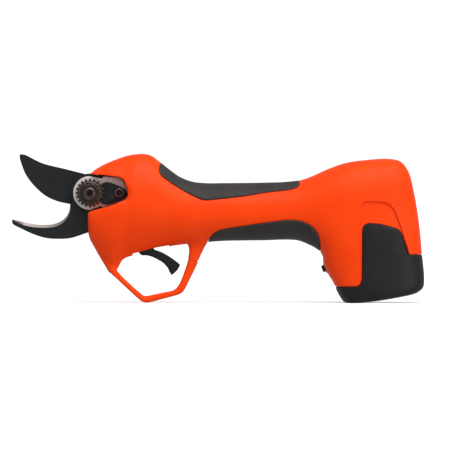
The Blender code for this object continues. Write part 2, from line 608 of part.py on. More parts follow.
def make_gear():
    gear = prism("gear_sector", around_pivot(sector_outline()), GEAR_Y)
    combine(gear, turned_y("gear_hub", [(BLADE_Y[1] + GAP, 8.2), (9.0, 8.2)], PIVOT), "UNION")
    combine(gear, pivot_cutter("gear_bore", BUSH_RADIUS + 0.2))
    piece = freeze(gear, "blade_gear", "dark_steel")
    set_origin(piece, (PIVOT[0], 0.0, PIVOT[1]))
    bush = tube(BLADE_Y[0], FRAME_Y[0] - GAP, BUSH_RADIUS, BOLT_RADIUS + 0.2)
    turned_y("pivot_bush", bush, PIVOT, "brass")


def pinion_ring(distance, scale, teeth):
    axis = drive_axis()
    across = Vector((0.0, 1.0, 0.0))
    third = axis.cross(across)
    centre = Vector(drive_point(distance))
    return [centre + across * x * scale + third * z * scale for x, z in teeth]


def make_pinion():
    """A bevel pinion whose teeth reach the side of the gear sector's teeth."""
    teeth = toothed_ring(5.6, 1.4, PINION_TEETH, 0.0, 0.36, 0.24)
    small, large = PINION_SPAN
    rings = [pinion_ring(small, small / large, teeth), pinion_ring(large, 1.0, teeth)]
    pinion = add_object("pinion_teeth", mesh_from_rings("pinion_teeth", rings))
    shaft = drive_turned("pinion_shaft", [(18.0, 3.0), (30.2, 3.0), (30.3, 2.8), (38.0, 2.8)])
    combine(pinion, shaft, "UNION")
    piece = freeze(pinion, "bevel_pinion", "dark_steel")
    set_origin(piece, drive_point(PINION_SPAN[1]))
    drive_turned("pinion_bearing", tube(BEARING_SPAN[0], BEARING_SPAN[1], 7.0, 3.1), "bright_steel")


def make_drive():
    first, last = GEARBOX_SPAN
    steps = [(first, 9.0), (first + 3.0, 9.5), (first + 3.1, MOTOR_RADIUS), (last, MOTOR_RADIUS)]
    drive_turned("gearbox", steps, "bright_steel", 24)
    first, last = MOTOR_SPAN
    steps = [(first, 11.0), (first + 2.0, MOTOR_RADIUS), (last - 4.0, MOTOR_RADIUS),
             (last - 3.0, 10.5), (last, 10.5)]
    drive_turned("motor", steps, "dark_steel", 24)


# --- trigger, button and electronics ----------------------------------------

def spring_mesh(name, centre, radius, wire, y_span, turns, steps=9, sides=5):
    """A coil round a left-to-right axis."""
    total = turns * steps
    rings = []
    for i in range(total + 1):
        angle = 2.0 * math.pi * i / steps
        y = y_span[0] + (y_span[1] - y_span[0]) * i / total
        out = Vector((math.cos(angle), 0.0, math.sin(angle)))
        spot = Vector((centre[0], y, centre[1])) + out * radius
        ring = []
        for k in range(sides):
            a = 2.0 * math.pi * k / sides
            ring.append(spot + out * wire * math.cos(a) + Vector((0, wire * math.sin(a), 0)))
        rings.append(ring)
    return mesh_from_rings(name, rings)


def make_trigger():
    trigger = prism("trigger_body", TRIGGER, (-TRIGGER_HALF_Y, TRIGGER_HALF_Y), None, 1.0)
    bore = [(-9.0, 1.5), (9.0, 1.5)]
    combine(trigger, turned_y("trigger_bore", bore, TRIGGER_PIVOT, sides=12))
    piece = freeze(trigger, "trigger", "black_plastic")
    set_origin(piece, (TRIGGER_PIVOT[0], 0.0, TRIGGER_PIVOT[1]))
    turned_y("trigger_pin", [(-8.6, 1.2), (8.6, 1.2)], TRIGGER_PIVOT, "bright_steel", 12)
    coil = spring_mesh("trigger_spring", TRIGGER_PIVOT, 2.0, 0.35, (5.6, 8.0), 3)
    add_object("trigger_spring", coil, "bright_steel")
    block("trigger_sensor", (-50.0, 0.0, 53.0), (9.0, 10.0, 1.6), None, "board_green")


def make_button():
    face = (BUTTON_FACE[0], 0.0, BUTTON_FACE[1])
    cap = [(-3.4, 3.3), (-2.9, 3.3), (-2.85, 2.5), (1.9, 2.5), (2.5, 2.0)]
    button = turned("power_button", cap, face, BUTTON_NORMAL, "black_plastic", 16)
    set_origin(button, face)
    turned("button_bezel", tube(-2.5, 0.5, 3.7, 2.8), face, BUTTON_NORMAL, "black_plastic", 16)
    side = BUTTON_NORMAL.cross(Vector((0, 1, 0)))
    centre = Vector(face) - BUTTON_NORMAL * 5.7
    axes = (BUTTON_NORMAL, Vector((0, 1, 0)), side)
    block("power_switch", centre, (2.0, 6.0, 5.6), axes, "black_plastic")


def make_electronics():
    block("control_board", (60.0, 0.0, 68.0), (22.0, 26.0, 1.6), None, "board_green")
    block("terminal_block", (106.0, 0.0, 90.6), (18.0, 16.0, 4.0), None, "black_plastic")


# --- battery ----------------------------------------------------------------

def make_battery_case():
    base = body_loft("battery_body", 20, None, 0.0)
    combine(base, prism("battery_window", BATTERY_ZONE, (-40.0, 40.0)), "INTERSECT")
    combine(base, pack_sleeve("cell_well", -SLEEVE_WALL, (CELL_BASE - 0.5, 200.0)))
    freeze(base, "battery_base", "black_plastic")
    sleeve = pack_sleeve("sleeve_body", 0.0, (0.0, SLEEVE_TOP))
    combine(sleeve, pack_sleeve("sleeve_room", -SLEEVE_WALL, (-20.0, SLEEVE_TOP - SLEEVE_WALL)))
    combine(sleeve, prism("sleeve_foot", grow(BATTERY_ZONE, GAP), (-40.0, 40.0)))
    freeze(sleeve, "battery_sleeve", "black_plastic")


def make_cells():
    axis = pack_axes()[2]
    spots = [(5.5 + CELL_PITCH * k, -8.1) for k in range(3)]
    spots += [(5.5 + CELL_PITCH * (k + 0.5), 8.1) for k in range(2)]
    for i, (u, y) in enumerate(spots):
        steps = [(0.0, CELL_RADIUS), (CELL_LENGTH - 1.0, CELL_RADIUS), (CELL_LENGTH, 8.0)]
        turned(f"battery_cell_{i + 1}", steps, pack_point(u, CELL_BASE, y), axis, "cell_wrap")
    pack_block("battery_board", (2.0, 46.0), (76.6, 78.2), 13.0, "board_green")


def make_latches():
    for side, label in ((-1, "left"), (1, "right")):
        piece = skin_patch("battery_latch_" + label, TONGUE, side, 2.3, 0.7, 5.0, "black_plastic")
        set_origin(piece, (117.0, side * 23.0, 35.0))


def remove_scraps():
    """Deletes the cutters and blanks that the frozen pieces no longer need."""
    used = {step.object for item in bpy.data.objects for step in item.modifiers
            if step.type == "BOOLEAN"}
    for item in list(bpy.data.objects):
        if item in used or not any(item.data.materials):
            bpy.data.objects.remove(item, do_unlink=True)


def main():
    clear_scene()
    make_housing()
    make_guard()
    make_housing_screws()
    make_nut()
    make_bolt()
    make_jaw()
    make_blade()
    make_cover_and_lock()
    make_frame()
    make_gear()
    make_pinion()
    make_drive()
    make_trigger()
    make_button()
    make_electronics()
    make_battery_case()
    make_cells()
    make_latches()
    remove_scraps()


main()
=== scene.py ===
"""Looks of the battery electric pruner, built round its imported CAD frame.

The housing, grips and battery share one lofted body surface, repeated here from
part.py's stations at a finer grain, with recesses, rounded edges and insets.
Lengths in the tables are millimetres; MM turns them into metres.
"""

import json
import math

import bmesh
import bpy
import numpy as np
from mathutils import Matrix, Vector


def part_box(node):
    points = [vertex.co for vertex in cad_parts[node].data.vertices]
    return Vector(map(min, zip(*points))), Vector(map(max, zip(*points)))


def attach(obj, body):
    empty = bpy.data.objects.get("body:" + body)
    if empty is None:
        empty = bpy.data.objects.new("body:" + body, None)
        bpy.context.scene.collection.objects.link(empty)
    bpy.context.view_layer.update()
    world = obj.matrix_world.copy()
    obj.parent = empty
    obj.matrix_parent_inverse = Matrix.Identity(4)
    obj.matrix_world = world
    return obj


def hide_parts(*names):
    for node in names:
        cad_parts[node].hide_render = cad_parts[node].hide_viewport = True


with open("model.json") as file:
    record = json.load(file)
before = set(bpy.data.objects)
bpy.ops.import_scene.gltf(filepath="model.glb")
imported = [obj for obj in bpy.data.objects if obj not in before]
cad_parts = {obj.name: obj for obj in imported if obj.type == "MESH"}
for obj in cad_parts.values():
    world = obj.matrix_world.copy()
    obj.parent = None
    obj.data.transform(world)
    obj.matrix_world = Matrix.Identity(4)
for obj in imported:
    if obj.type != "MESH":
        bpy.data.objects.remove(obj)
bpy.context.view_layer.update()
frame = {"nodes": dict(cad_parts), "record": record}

MM = 0.001
PIVOT = (-89.8, 77.2)
NUT_TEETH = 20
NUT_RADIUS = 10.3
LOCK_SCREW = (-69.3, 77.3)
TRIGGER_HALF_Y = 4.6
GUARD_HALF_Y = 5.8
PACK_ORIGIN = (91.4, 0.0)
PACK_LEAN = math.radians(7.3)
SLEEVE_U = (-5.0, 53.0)
SLEEVE_HALF_Y = 18.6
SLEEVE_CORNER = 10.5
BUTTON_FACE = Vector((75.6, 0.0, 24.5))
BUTTON_NORMAL = Vector((-0.94, 0.0, -0.342)).normalized()
SPINE = 4.0
SEAM = 0.12

# The body's stations: low x, z, top x, z, half-widths low, middle, top, squareness, wall
STATIONS = [
    (-92.0, 57.0, -91.0, 89.6, 15.5, 18.5, 14.5, 3.2, 2.3),
    (-90.9, 47.0, -87.0, 93.3, 15.0, 19.5, 15.0, 3.2, 2.3),
    (-86.1, 37.1, -80.0, 97.4, 12.0, 20.0, 15.5, 3.0, 2.3),
    (-80.2, 27.2, -72.0, 100.8, 8.0, 20.2, 15.5, 2.9, 2.3),
    (-75.0, 20.4, -64.0, 103.5, 5.8, 20.0, 15.5, 2.8, 2.3),
    (-70.6, 24.0, -60.0, 104.3, 6.0, 20.2, 15.5, 2.8, 2.3),
    (-67.2, 30.3, -57.0, 104.6, 8.0, 20.3, 15.5, 2.8, 2.3),
    (-57.8, 33.7, -53.5, 104.8, 11.5, 20.2, 15.3, 2.7, 2.3),
    (-47.0, 37.0, -47.0, 103.6, 13.0, 19.8, 15.0, 2.6, 2.3),
    (-38.0, 38.9, -40.8, 99.0, 13.5, 19.2, 14.8, 2.6, 2.3),
    (-30.0, 40.3, -33.8, 93.4, 13.8, 18.6, 14.5, 2.5, 2.3),
    (-22.5, 41.2, -26.7, 88.5, 14.0, 18.2, 14.2, 2.5, 2.3),
    (-15.0, 42.0, -18.7, 85.4, 14.0, 18.0, 14.0, 2.5, 2.3),
    (-6.0, 43.1, -9.0, 84.2, 14.0, 18.0, 14.0, 2.5, 2.3),
    (4.0, 43.8, 3.0, 84.2, 14.0, 18.2, 14.0, 2.5, 2.3),
    (18.0, 44.1, 18.0, 84.3, 14.2, 18.5, 14.2, 2.5, 2.3),
    (34.0, 44.3, 33.6, 84.5, 14.5, 18.8, 14.5, 2.5, 2.3),
    (49.9, 44.7, 47.0, 84.9, 15.0, 19.2, 15.0, 2.6, 2.4),
    (57.0, 44.0, 57.0, 86.0, 15.5, 20.0, 15.5, 2.7, 2.6),
    (63.4, 41.5, 66.0, 89.0, 16.5, 21.2, 16.5, 2.8, 3.0),
    (70.4, 37.6, 77.0, 94.0, 18.0, 22.6, 18.0, 3.0, 3.6),
    (73.6, 32.6, 90.0, 98.5, 19.0, 23.6, 19.0, 3.2, 4.2),
    (74.0, 29.0, 105.2, 100.6, 19.5, 24.2, 19.5, 3.4, 4.4),
    (75.4, 24.0, 121.4, 101.2, 20.0, 24.5, 20.0, 3.6, 4.4),
    (77.4, 20.3, 128.6, 99.4, 20.5, 24.5, 20.3, 3.8, 4.4),
    (79.0, 17.6, 133.7, 92.8, 20.8, 24.5, 20.6, 4.0, 4.4),
    (80.6, 15.2, 137.5, 78.8, 21.0, 24.5, 21.0, 4.0, 4.4),
    (81.6, 13.2, 140.7, 60.2, 21.2, 24.5, 21.5, 4.0, 4.4),
    (82.6, 11.1, 143.3, 35.1, 21.5, 24.5, 22.0, 4.0, 4.4),
    (84.0, 7.6, 144.9, 16.5, 21.5, 24.3, 22.0, 4.0, 4.4),
    (85.8, 4.2, 144.3, 10.8, 21.0, 24.0, 21.6, 4.0, 4.4),
    (87.4, 1.8, 140.5, 7.3, 20.4, 23.4, 21.0, 4.0, 4.4),
    (88.6, 0.7, 128.0, 4.0, 19.6, 22.6, 20.4, 4.0, 4.4),
    (89.4, 0.2, 113.3, 1.5, 19.0, 21.8, 19.6, 4.0, 4.4),
    (90.2, 0.0, 100.0, 0.0, 18.4, 20.6, 18.4, 4.0, 4.4),
]

# Side-view outlines (x, z); most are rounded by rounded()
UPPER_GRIP = [(-39.3, 104.0), (-41.7, 91.0), (-33.4, 84.5), (-20.7, 76.8), (-11.7, 72.5),
              (-8.0, 72.1), (6.4, 73.6), (20.0, 75.2), (33.6, 77.7), (47.2, 79.1),
              (54.4, 80.6), (57.1, 82.7), (55.6, 92.0), (0.0, 95.0)]
LOWER_GRIP = [(-7.9, 38.0), (-7.3, 43.2), (-5.3, 46.0), (-1.7, 49.7), (3.7, 51.7),
              (20.0, 54.2), (33.6, 56.2), (47.2, 58.0), (54.4, 58.0), (60.7, 56.5),
              (66.2, 53.3), (69.8, 48.8), (71.4, 42.4), (71.6, 32.0)]
GUARD_OUTER = [(-75.0, 20.1), (-70.8, 16.4), (-64.1, 10.1), (-57.4, 3.9), (-54.4, 1.4),
               (-51.8, 0.1), (-48.8, 0.1), (-39.1, 2.6), (-28.6, 5.4), (-25.3, 7.0),
               (-23.3, 9.6), (-19.3, 17.7), (-15.3, 25.8), (-13.9, 29.4)]
GUARD_INNER = [(-71.2, 22.6), (-66.3, 17.3), (-59.6, 11.1), (-53.8, 6.1), (-50.8, 4.8),
               (-38.7, 7.2), (-32.6, 8.4), (-30.2, 9.6), (-27.7, 12.5), (-25.3, 17.7),
               (-22.5, 25.3), (-21.2, 29.8)]
POCKET = [(-110.0, 90.6), (-90.7, 90.4), (-80.0, 89.8), (-69.0, 88.3), (-66.2, 86.8),
          (-63.8, 81.4), (-62.9, 76.0), (-64.1, 72.7), (-73.5, 68.6), (-87.4, 64.8),
          (-92.3, 63.0), (-110.0, 62.0)]
RECESS = [(99.2, -5.0), (99.5, 66.7), (101.2, 70.7), (105.2, 71.4), (117.3, 70.7),
          (121.4, 68.2), (124.6, 62.6), (129.4, 48.9), (135.0, 31.0), (138.0, -5.0)]
TONGUE = [(100.9, 34.2), (100.9, 52.0), (102.4, 54.8), (105.2, 55.9), (113.3, 55.3),
          (124.6, 52.4), (127.6, 50.2), (129.4, 45.6), (133.2, 34.2)]
LATCH_WELL = [(100.9, 5.0)] + TONGUE[1:-1] + [(133.2, 34.2), (133.2, 5.0)]
BLACK_AREA = [(60.0, 11.0), (82.6, 11.1), (97.1, 11.4), (99.5, 12.8), (100.9, 17.0)] + TONGUE[1:-1] \
    + [(133.3, 33.9), (150.0, 33.9), (150.0, -20.0), (60.0, -20.0)]
BATTERY_ZONE = [(60.0, 11.0), (82.6, 11.1), (97.1, 11.4), (99.5, 12.8), (100.9, 17.0),
                (100.9, 33.1), (100.9, 33.6), (101.4, 33.6), (150.0, 33.9), (150.0, -20.0),
                (60.0, -20.0)]
SLOT = [(-120.0, 48.6), (-79.0, 48.6), (-76.0, 91.2), (-120.0, 91.2)]
NOSE_RADIUS = 13.4


# --- curves and meshes --------------------------------------------------------

def flowing(points, count, closed=False):
    """A smooth curve through the points, resampled to an even spacing."""
    pts = np.array(points, float)
    if closed:
        pts = np.vstack([pts[-2:], pts, pts[:2]])
    else:
        pts = np.vstack([2 * pts[0] - pts[1], pts, 2 * pts[-1] - pts[-2]])
    fine = []
    last = len(pts) - (3 if closed else 2)
    first = 2 if closed else 1
    for i in range(first, last):
        p0, p1, p2, p3 = pts[i - 1], pts[i], pts[i + 1], pts[i + 2]
        for t in np.linspace(0.0, 1.0, 24, endpoint=False):
            fine.append(0.5 * ((2 * p1) + (p2 - p0) * t + (2 * p0 - 5 * p1 + 4 * p2 - p3) * t * t
                               + (3 * p1 - p0 - 3 * p2 + p3) * t ** 3))
    fine.append(pts[last])
    fine = np.array(fine)
    steps = np.linalg.norm(np.diff(fine[:, :2], axis=0), axis=1)
    run = np.concatenate([[0.0], np.cumsum(steps)])
    at = np.linspace(0.0, run[-1], count)
    return np.column_stack([np.interp(at, run, fine[:, k]) for k in range(fine.shape[1])])


def rounded(points, radius=2.0, steps=6):
    """A closed outline with its corners cut to curves of about a radius."""
    pts = [Vector(p) for p in points]
    out = []
    for i, here in enumerate(pts):
        before = pts[i - 1]
        after = pts[(i + 1) % len(pts)]
        reach = min(radius, (before - here).length * 0.48, (after - here).length * 0.48)
        start = here + (before - here).normalized() * reach
        end = here + (after - here).normalized() * reach
        for k in range(steps + 1):
            t = k / steps
            out.append(tuple(start * (1 - t) ** 2 + here * 2 * t * (1 - t) + end * t * t))
    return out


def grow(points, distance):
    """A closed outline offset outwards by a distance."""
    pts = [Vector(p) for p in points]
    area = sum(a.x * b.y - b.x * a.y for a, b in zip(pts, pts[1:] + pts[:1]))
    turn = 1.0 if area > 0 else -1.0
    out = []
    for i, here in enumerate(pts):
        first = here - pts[i - 1]
        second = pts[(i + 1) % len(pts)] - here
        if first.length < 1e-6 or second.length < 1e-6:
            continue
        first.normalize()
        second.normalize()
        normal = Vector((first.y + second.y, -first.x - second.x)).normalized() * turn
        stretch = max(0.5, normal.dot(Vector((first.y, -first.x)) * turn))
        out.append(tuple(here + normal * distance / stretch))
    return out


def signed_distance(outline, x, z):
    """Distance of each (x, z) from a closed outline, negative inside it."""
    pts = np.array(outline, float)
    nxt = np.roll(pts, -1, axis=0)
    best = np.full(x.shape, 1e9)
    inside = np.zeros(x.shape, bool)
    for (ax, az), (bx, bz) in zip(pts, nxt):
        dx, dz = bx - ax, bz - az
        length = dx * dx + dz * dz
        if length < 1e-12:
            continue
        t = np.clip(((x - ax) * dx + (z - az) * dz) / length, 0.0, 1.0)
        best = np.minimum(best, np.hypot(x - ax - t * dx, z - az - t * dz))
        crosses = (az > z) != (bz > z)
        if abs(dz) > 1e-12:
            inside ^= crosses & (x < (dx * (z - az) / dz + ax))
    return np.where(inside, -best, best)


def edge_drop(distance, radius):
    """How far a surface falls away near an edge, for a quarter-round of a radius."""
    d = np.clip(distance, 0.0, radius)
    return radius - np.sqrt(np.maximum(radius ** 2 - (radius - d) ** 2, 0.0))


def smooth_step(value):
    t = np.clip(value, 0.0, 1.0)
    return t * t * (3.0 - 2.0 * t)


def link(name, mesh):
    item = bpy.data.objects.new(name, mesh)
    bpy.context.collection.objects.link(item)
    return item


def grid_solid(name, grid):
    """A closed solid from rings of points (rows, around, xyz) in millimetres."""
    rows, around = grid.shape[:2]
    points = (grid.reshape(-1, 3) * MM).tolist()
    faces = []
    for i in range(rows - 1):
        for j in range(around):
            k = (j + 1) % around
            faces.append((i * around + j, i * around + k, (i + 1) * around + k, (i + 1) * around + j))
    for row, order in ((0, 1), (rows - 1, -1)):
        middle = len(points)
        points.append((grid[row].mean(axis=0) * MM).tolist())
        for j in range(around):
            k = (j + 1) % around
            face = (row * around + k, row * around + j, middle)
            faces.append(face if order > 0 else face[::-1])
    mesh = bpy.data.meshes.new(name)
    mesh.from_pydata(points, [], faces)
    bm = bmesh.new()
    bm.from_mesh(mesh)
    bmesh.ops.recalc_face_normals(bm, faces=bm.faces)
    if bm.calc_volume(signed=True) < 0:
        bmesh.ops.reverse_faces(bm, faces=bm.faces)
    bm.to_mesh(mesh)
    bm.free()
    return link(name, mesh)


def prism(name, outline, y_span):
    rings = np.array([[(x, y, z) for x, z in outline] for y in y_span])
    return grid_flat(name, rings)


def grid_flat(name, rings):
    """As grid_solid, with each end closed by one flat face."""
    bm = bmesh.new()
    rows = [[bm.verts.new(Vector(p) * MM) for p in ring] for ring in rings]
    around = len(rows[0])
    for first, second in zip(rows, rows[1:]):
        for j in range(around):
            k = (j + 1) % around
            bm.faces.new((first[j], first[k], second[k], second[j]))
    bm.faces.new(rows[0])
    bm.faces.new(rows[-1])
    bmesh.ops.recalc_face_normals(bm, faces=bm.faces)
    mesh = bpy.data.meshes.new(name)
    bm.to_mesh(mesh)
    bm.free()
    return link(name, mesh)


def turned(name, profile, origin, axis, sides=64):
    """A turned piece: profile is (distance along the axis, radius) pairs."""
    axis = Vector(axis).normalized()
    across = axis.cross(Vector((0, 1, 0)) if abs(axis.y) < 0.9 else Vector((1, 0, 0))).normalized()
    third = axis.cross(across)
    rings = []
    for along, radius in profile:
        centre = Vector(origin) + axis * along
        ring = []
        for i in range(sides):
            a = 2.0 * math.pi * i / sides
            ring.append(centre + across * radius * math.cos(a) + third * radius * math.sin(a))
        rings.append(ring)
    return grid_flat(name, rings)


def turned_y(name, profile, centre, sides=64):
    return turned(name, profile, (centre[0], 0.0, centre[1]), (0, 1, 0), sides)


def carve(target, cutters, operation="DIFFERENCE"):
    """Applies Booleans in turn and removes the cutters."""
    for cutter in cutters:
        step = target.modifiers.new("carve", "BOOLEAN")
        step.operation = operation
        step.solver = "MANIFOLD"
        step.object = cutter
    bpy.context.view_layer.update()
    graph = bpy.context.evaluated_depsgraph_get()
    mesh = bpy.data.meshes.new_from_object(target.evaluated_get(graph))
    old = target.data
    target.modifiers.clear()
    target.data = mesh
    bpy.data.meshes.remove(old)
    for cutter in cutters:
        bpy.data.objects.remove(cutter, do_unlink=True)
    return target


def duplicate(item, name):
    return link(name, item.data.copy())


def finish_piece(item, body, nodes, material, angle=34.0):
    """Shades a piece, gives it its material and ties it to the frame."""
    mesh = item.data
    if not any(mesh.materials):
        mesh.materials.clear()
        mesh.materials.append(material)
    mesh.shade_smooth()
    mesh.set_sharp_from_angle(angle=math.radians(angle))
    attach(item, body)
    if nodes:
        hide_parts(*nodes)
    return item


def soften(item, width, segments=2, angle=40.0):
    """Rounds an item's sharp edges by a width in millimetres."""
    bevel = item.modifiers.new("soft_edge", "BEVEL")
    bevel.width = width * MM
    bevel.segments = segments
    bevel.limit_method = "ANGLE"
    bevel.angle_limit = math.radians(angle)
    bevel.harden_normals = False
    bpy.context.view_layer.update()
    graph = bpy.context.evaluated_depsgraph_get()
    mesh = bpy.data.meshes.new_from_object(item.evaluated_get(graph))
    item.modifiers.clear()
    item.data = mesh
    return item


# --- the body surface ---------------------------------------------------------

def body_rows(count):
    """The stations as smooth curves, resampled to many rows."""
    table = np.array(STATIONS)
    middle = (table[:, 0:2] + table[:, 2:4]) / 2.0
    spread = np.linalg.norm(np.diff(table[:, 0:2], axis=0), axis=1)
    spread += np.linalg.norm(np.diff(table[:, 2:4], axis=0), axis=1)
    spread += np.linalg.norm(np.diff(middle, axis=0), axis=1)
    key = np.concatenate([[0.0], np.cumsum(spread)])
    at = np.linspace(0.0, key[-1], count)
    slope = np.gradient(table, key, axis=0)
    index = np.clip(np.searchsorted(key, at, side="right") - 1, 0, len(key) - 2)
    span = key[index + 1] - key[index]
    t = ((at - key[index]) / span)[:, None]
    h = span[:, None]
    rows = ((2 * t ** 3 - 3 * t ** 2 + 1) * table[index] + (t ** 3 - 2 * t ** 2 + t) * h * slope[index]
            + (3 * t ** 2 - 2 * t ** 3) * table[index + 1] + (t ** 3 - t ** 2) * h * slope[index + 1])
    return settle(rows, 5)


def settle(rows, passes):
    """Evens out small waves along the rows, keeping both ends."""
    out = rows.copy()
    for _ in range(passes):
        out[1:-1] = out[1:-1] * 0.5 + (out[:-2] + out[2:]) * 0.25
    return out


def ring_angles(half_count):
    """Angles from the low point over the right side to the top, finer at the seam."""
    even = np.linspace(0.0, math.pi, half_count + 1)
    near = np.array([0.0016, 0.0065, 0.015])
    right = np.unique(np.concatenate([even, near, math.pi - near]))
    return np.concatenate([right, 2 * math.pi - right[-2:0:-1]])


def body_grid(rows, inset, angles):
    """Points of the body surface, rows by angles."""
    low, top = rows[:, 0:2], rows[:, 2:4]
    middle = (low + top) / 2.0
    half = (top - low) / 2.0
    length = np.linalg.norm(half, axis=1, keepdims=True)
    inset = np.broadcast_to(np.asarray(inset, float), (len(rows),))[:, None]
    half = half * (1.0 - np.minimum(inset, length * 0.8) / length)
    square = rows[:, 7:8]
    cos, sin = np.cos(angles)[None, :], np.sin(angles)[None, :]
    sin = np.where(np.abs(sin) < 1e-9, 0.0, sin)
    along = -np.sign(cos) * np.abs(cos) ** (2.0 / square)
    across = np.sign(sin) * np.abs(sin) ** (2.0 / square)
    t = (along + 1.0) / 2.0
    w_low, w_mid, w_top = rows[:, 4:5], rows[:, 5:6], rows[:, 6:7]
    peak = 2.0 * w_mid - (w_low + w_top) / 2.0
    width = w_low * (1 - t) ** 2 + 2 * peak * t * (1 - t) + w_top * t * t - inset
    x = middle[:, 0:1] + half[:, 0:1] * along
    z = middle[:, 1:2] + half[:, 1:2] * along
    return np.stack([x, width * across, z], axis=2)


def grid_normals(grid):
    """Outward normals of a grid of rings."""
    along = np.gradient(grid, axis=0)
    around = np.roll(grid, -1, axis=1) - np.roll(grid, 1, axis=1)
    normal = np.cross(around, along)
    normal /= np.maximum(np.linalg.norm(normal, axis=2, keepdims=True), 1e-9)
    centre = grid.mean(axis=1, keepdims=True)
    flip = np.sign(np.sum(normal * (grid - centre), axis=2).mean())
    return normal * flip


def rows_between(rows, first_x, last_x):
    """Rows whose middle lies between two x values."""
    x = (rows[:, 0] + rows[:, 2]) / 2.0
    keep = np.where((x > first_x) & (x < last_x))[0]
    return rows[keep[0]:keep[-1] + 1]


def sculpted(name, rows, angles, depth):
    """A closed body solid pushed in along its normals by a depth function."""
    grid = body_grid(rows, 0.0, angles)
    push = depth(grid[:, :, 0], grid[:, :, 1], grid[:, :, 2])
    return grid_solid(name, grid - grid_normals(grid) * push[:, :, None])


def plain_body(name, rows, inset, sides=64):
    angles = np.linspace(0.0, 2 * math.pi, sides, endpoint=False)
    return grid_solid(name, body_grid(rows, inset, angles))


ROWS = body_rows(420)
CORE_ROWS = ROWS[::4]
ANGLES = ring_angles(110)
UPPER_EDGE = rounded(UPPER_GRIP, 4.0)
LOWER_EDGE = rounded(LOWER_GRIP, 3.0)
RECESS_EDGE = rounded(RECESS, 3.0)
ZONE_EDGE = rounded(BATTERY_ZONE, 1.8)
WELL_EDGE = rounded(LATCH_WELL, 2.2)
BLACK_EDGE = rounded(BLACK_AREA, 2.0)
POCKET_EDGE = rounded(POCKET, 1.6)


# --- materials ----------------------------------------------------------------

class Look:
    """Builds one node material: colour patches, lighter edges (edge wear and painted highlight), roughness
    and grain.
    """

    def __init__(self, name, metallic=0.0):
        self.material = bpy.data.materials.new(name)
        self.material.use_nodes = True
        self.tree = self.material.node_tree
        self.shader = self.tree.nodes["Principled BSDF"]
        self.shader.inputs["Metallic"].default_value = metallic
        self.place = self.tree.nodes.new("ShaderNodeTexCoord").outputs["Object"]

    def stretched(self, scale):
        mapping = self.tree.nodes.new("ShaderNodeMapping")
        mapping.inputs["Scale"].default_value = scale
        self.tree.links.new(self.place, mapping.inputs["Vector"])
        return mapping.outputs["Vector"]

    def noise(self, scale, detail=3.0, rough=0.55, stretch=None):
        node = self.tree.nodes.new("ShaderNodeTexNoise")
        node.inputs["Scale"].default_value = scale
        node.inputs["Detail"].default_value = detail
        node.inputs["Roughness"].default_value = rough
        source = self.stretched(stretch) if stretch else self.place
        self.tree.links.new(source, node.inputs["Vector"])
        return node.outputs["Fac"]

    def ramp(self, source, low, high, first, second):
        """Maps a value between two positions onto two colours or greys."""
        node = self.tree.nodes.new("ShaderNodeValToRGB")
        stops = node.color_ramp.elements
        stops[0].position, stops[1].position = low, high
        grey = not isinstance(first, tuple)
        stops[0].color = (first, first, first, 1.0) if grey else (*first, 1.0)
        stops[1].color = (second, second, second, 1.0) if grey else (*second, 1.0)
        self.tree.links.new(source, node.inputs["Fac"])
        return node.outputs["Color"]

    def mix(self, factor, first, second):
        node = self.tree.nodes.new("ShaderNodeMix")
        node.data_type = "RGBA"
        self.tree.links.new(factor, node.inputs["Factor"])
        self.tree.links.new(first, node.inputs["A"])
        node.inputs["B"].default_value = (*second, 1.0)
        return node.outputs["Result"]

    def edges(self, low, high):
        """White on convex edges: the mask for edge wear and a painted edge highlight."""
        geometry = self.tree.nodes.new("ShaderNodeNewGeometry")
        return self.ramp(geometry.outputs["Pointiness"], low, high, 0.0, 1.0)

    def colour(self, output):
        self.tree.links.new(output, self.shader.inputs["Base Color"])

    def roughness(self, output):
        self.tree.links.new(output, self.shader.inputs["Roughness"])

    def bump(self, height, distance, strength=1.0):
        node = self.tree.nodes.new("ShaderNodeBump")
        node.inputs["Distance"].default_value = distance
        node.inputs["Strength"].default_value = strength
        self.tree.links.new(height, node.inputs["Height"])
        self.tree.links.new(node.outputs["Normal"], self.shader.inputs["Normal"])

    def set(self, **values):
        for name, value in values.items():
            self.shader.inputs[name.replace("_", " ")].default_value = value


def orange_plastic():
    look = Look("orange_plastic")
    base = look.ramp(look.noise(38.0, 4.0), 0.3, 0.7, (0.96, 0.052, 0.0012), (1.0, 0.066, 0.0025))
    # Convex edges painted lighter: partly edge wear, partly a painted highlight.
    edge_wear_and_highlight = look.mix(look.edges(0.54, 0.64), base, (1.0, 0.10, 0.012))
    look.colour(edge_wear_and_highlight)
    look.roughness(look.ramp(look.noise(900.0, 5.0), 0.3, 0.75, 0.36, 0.50))
    look.bump(look.noise(2600.0, 4.0), 0.00003, 0.5)
    look.set(Specular_IOR_Level=0.12)
    return look.material


def black_rubber():
    look = Look("black_rubber")
    base = look.ramp(look.noise(70.0, 4.0), 0.3, 0.72, (0.020, 0.0175, 0.0165), (0.032, 0.028, 0.027))
    # Convex edges painted lighter: partly edge wear, partly a painted highlight.
    look.colour(look.mix(look.edges(0.53, 0.62), base, (0.060, 0.054, 0.050)))
    look.roughness(look.ramp(look.noise(1500.0, 5.0), 0.3, 0.72, 0.50, 0.68))
    look.bump(look.noise(3200.0, 3.0), 0.00006, 0.6)
    look.set(Specular_IOR_Level=0.3, Sheen_Weight=0.05, Sheen_Roughness=0.5)
    return look.material


def battery_plastic():
    look = Look("battery_plastic")
    base = look.ramp(look.noise(55.0, 4.0), 0.3, 0.72, (0.0050, 0.0052, 0.0064), (0.0085, 0.0087, 0.0105))
    # Convex edges painted lighter: partly edge wear, partly a painted highlight.
    look.colour(look.mix(look.edges(0.53, 0.61), base, (0.025, 0.026, 0.029)))
    look.roughness(look.ramp(look.noise(1700.0, 5.0), 0.3, 0.75, 0.42, 0.60))
    look.bump(look.noise(2900.0, 4.0), 0.00007, 0.6)
    look.set(Specular_IOR_Level=0.3)
    return look.material


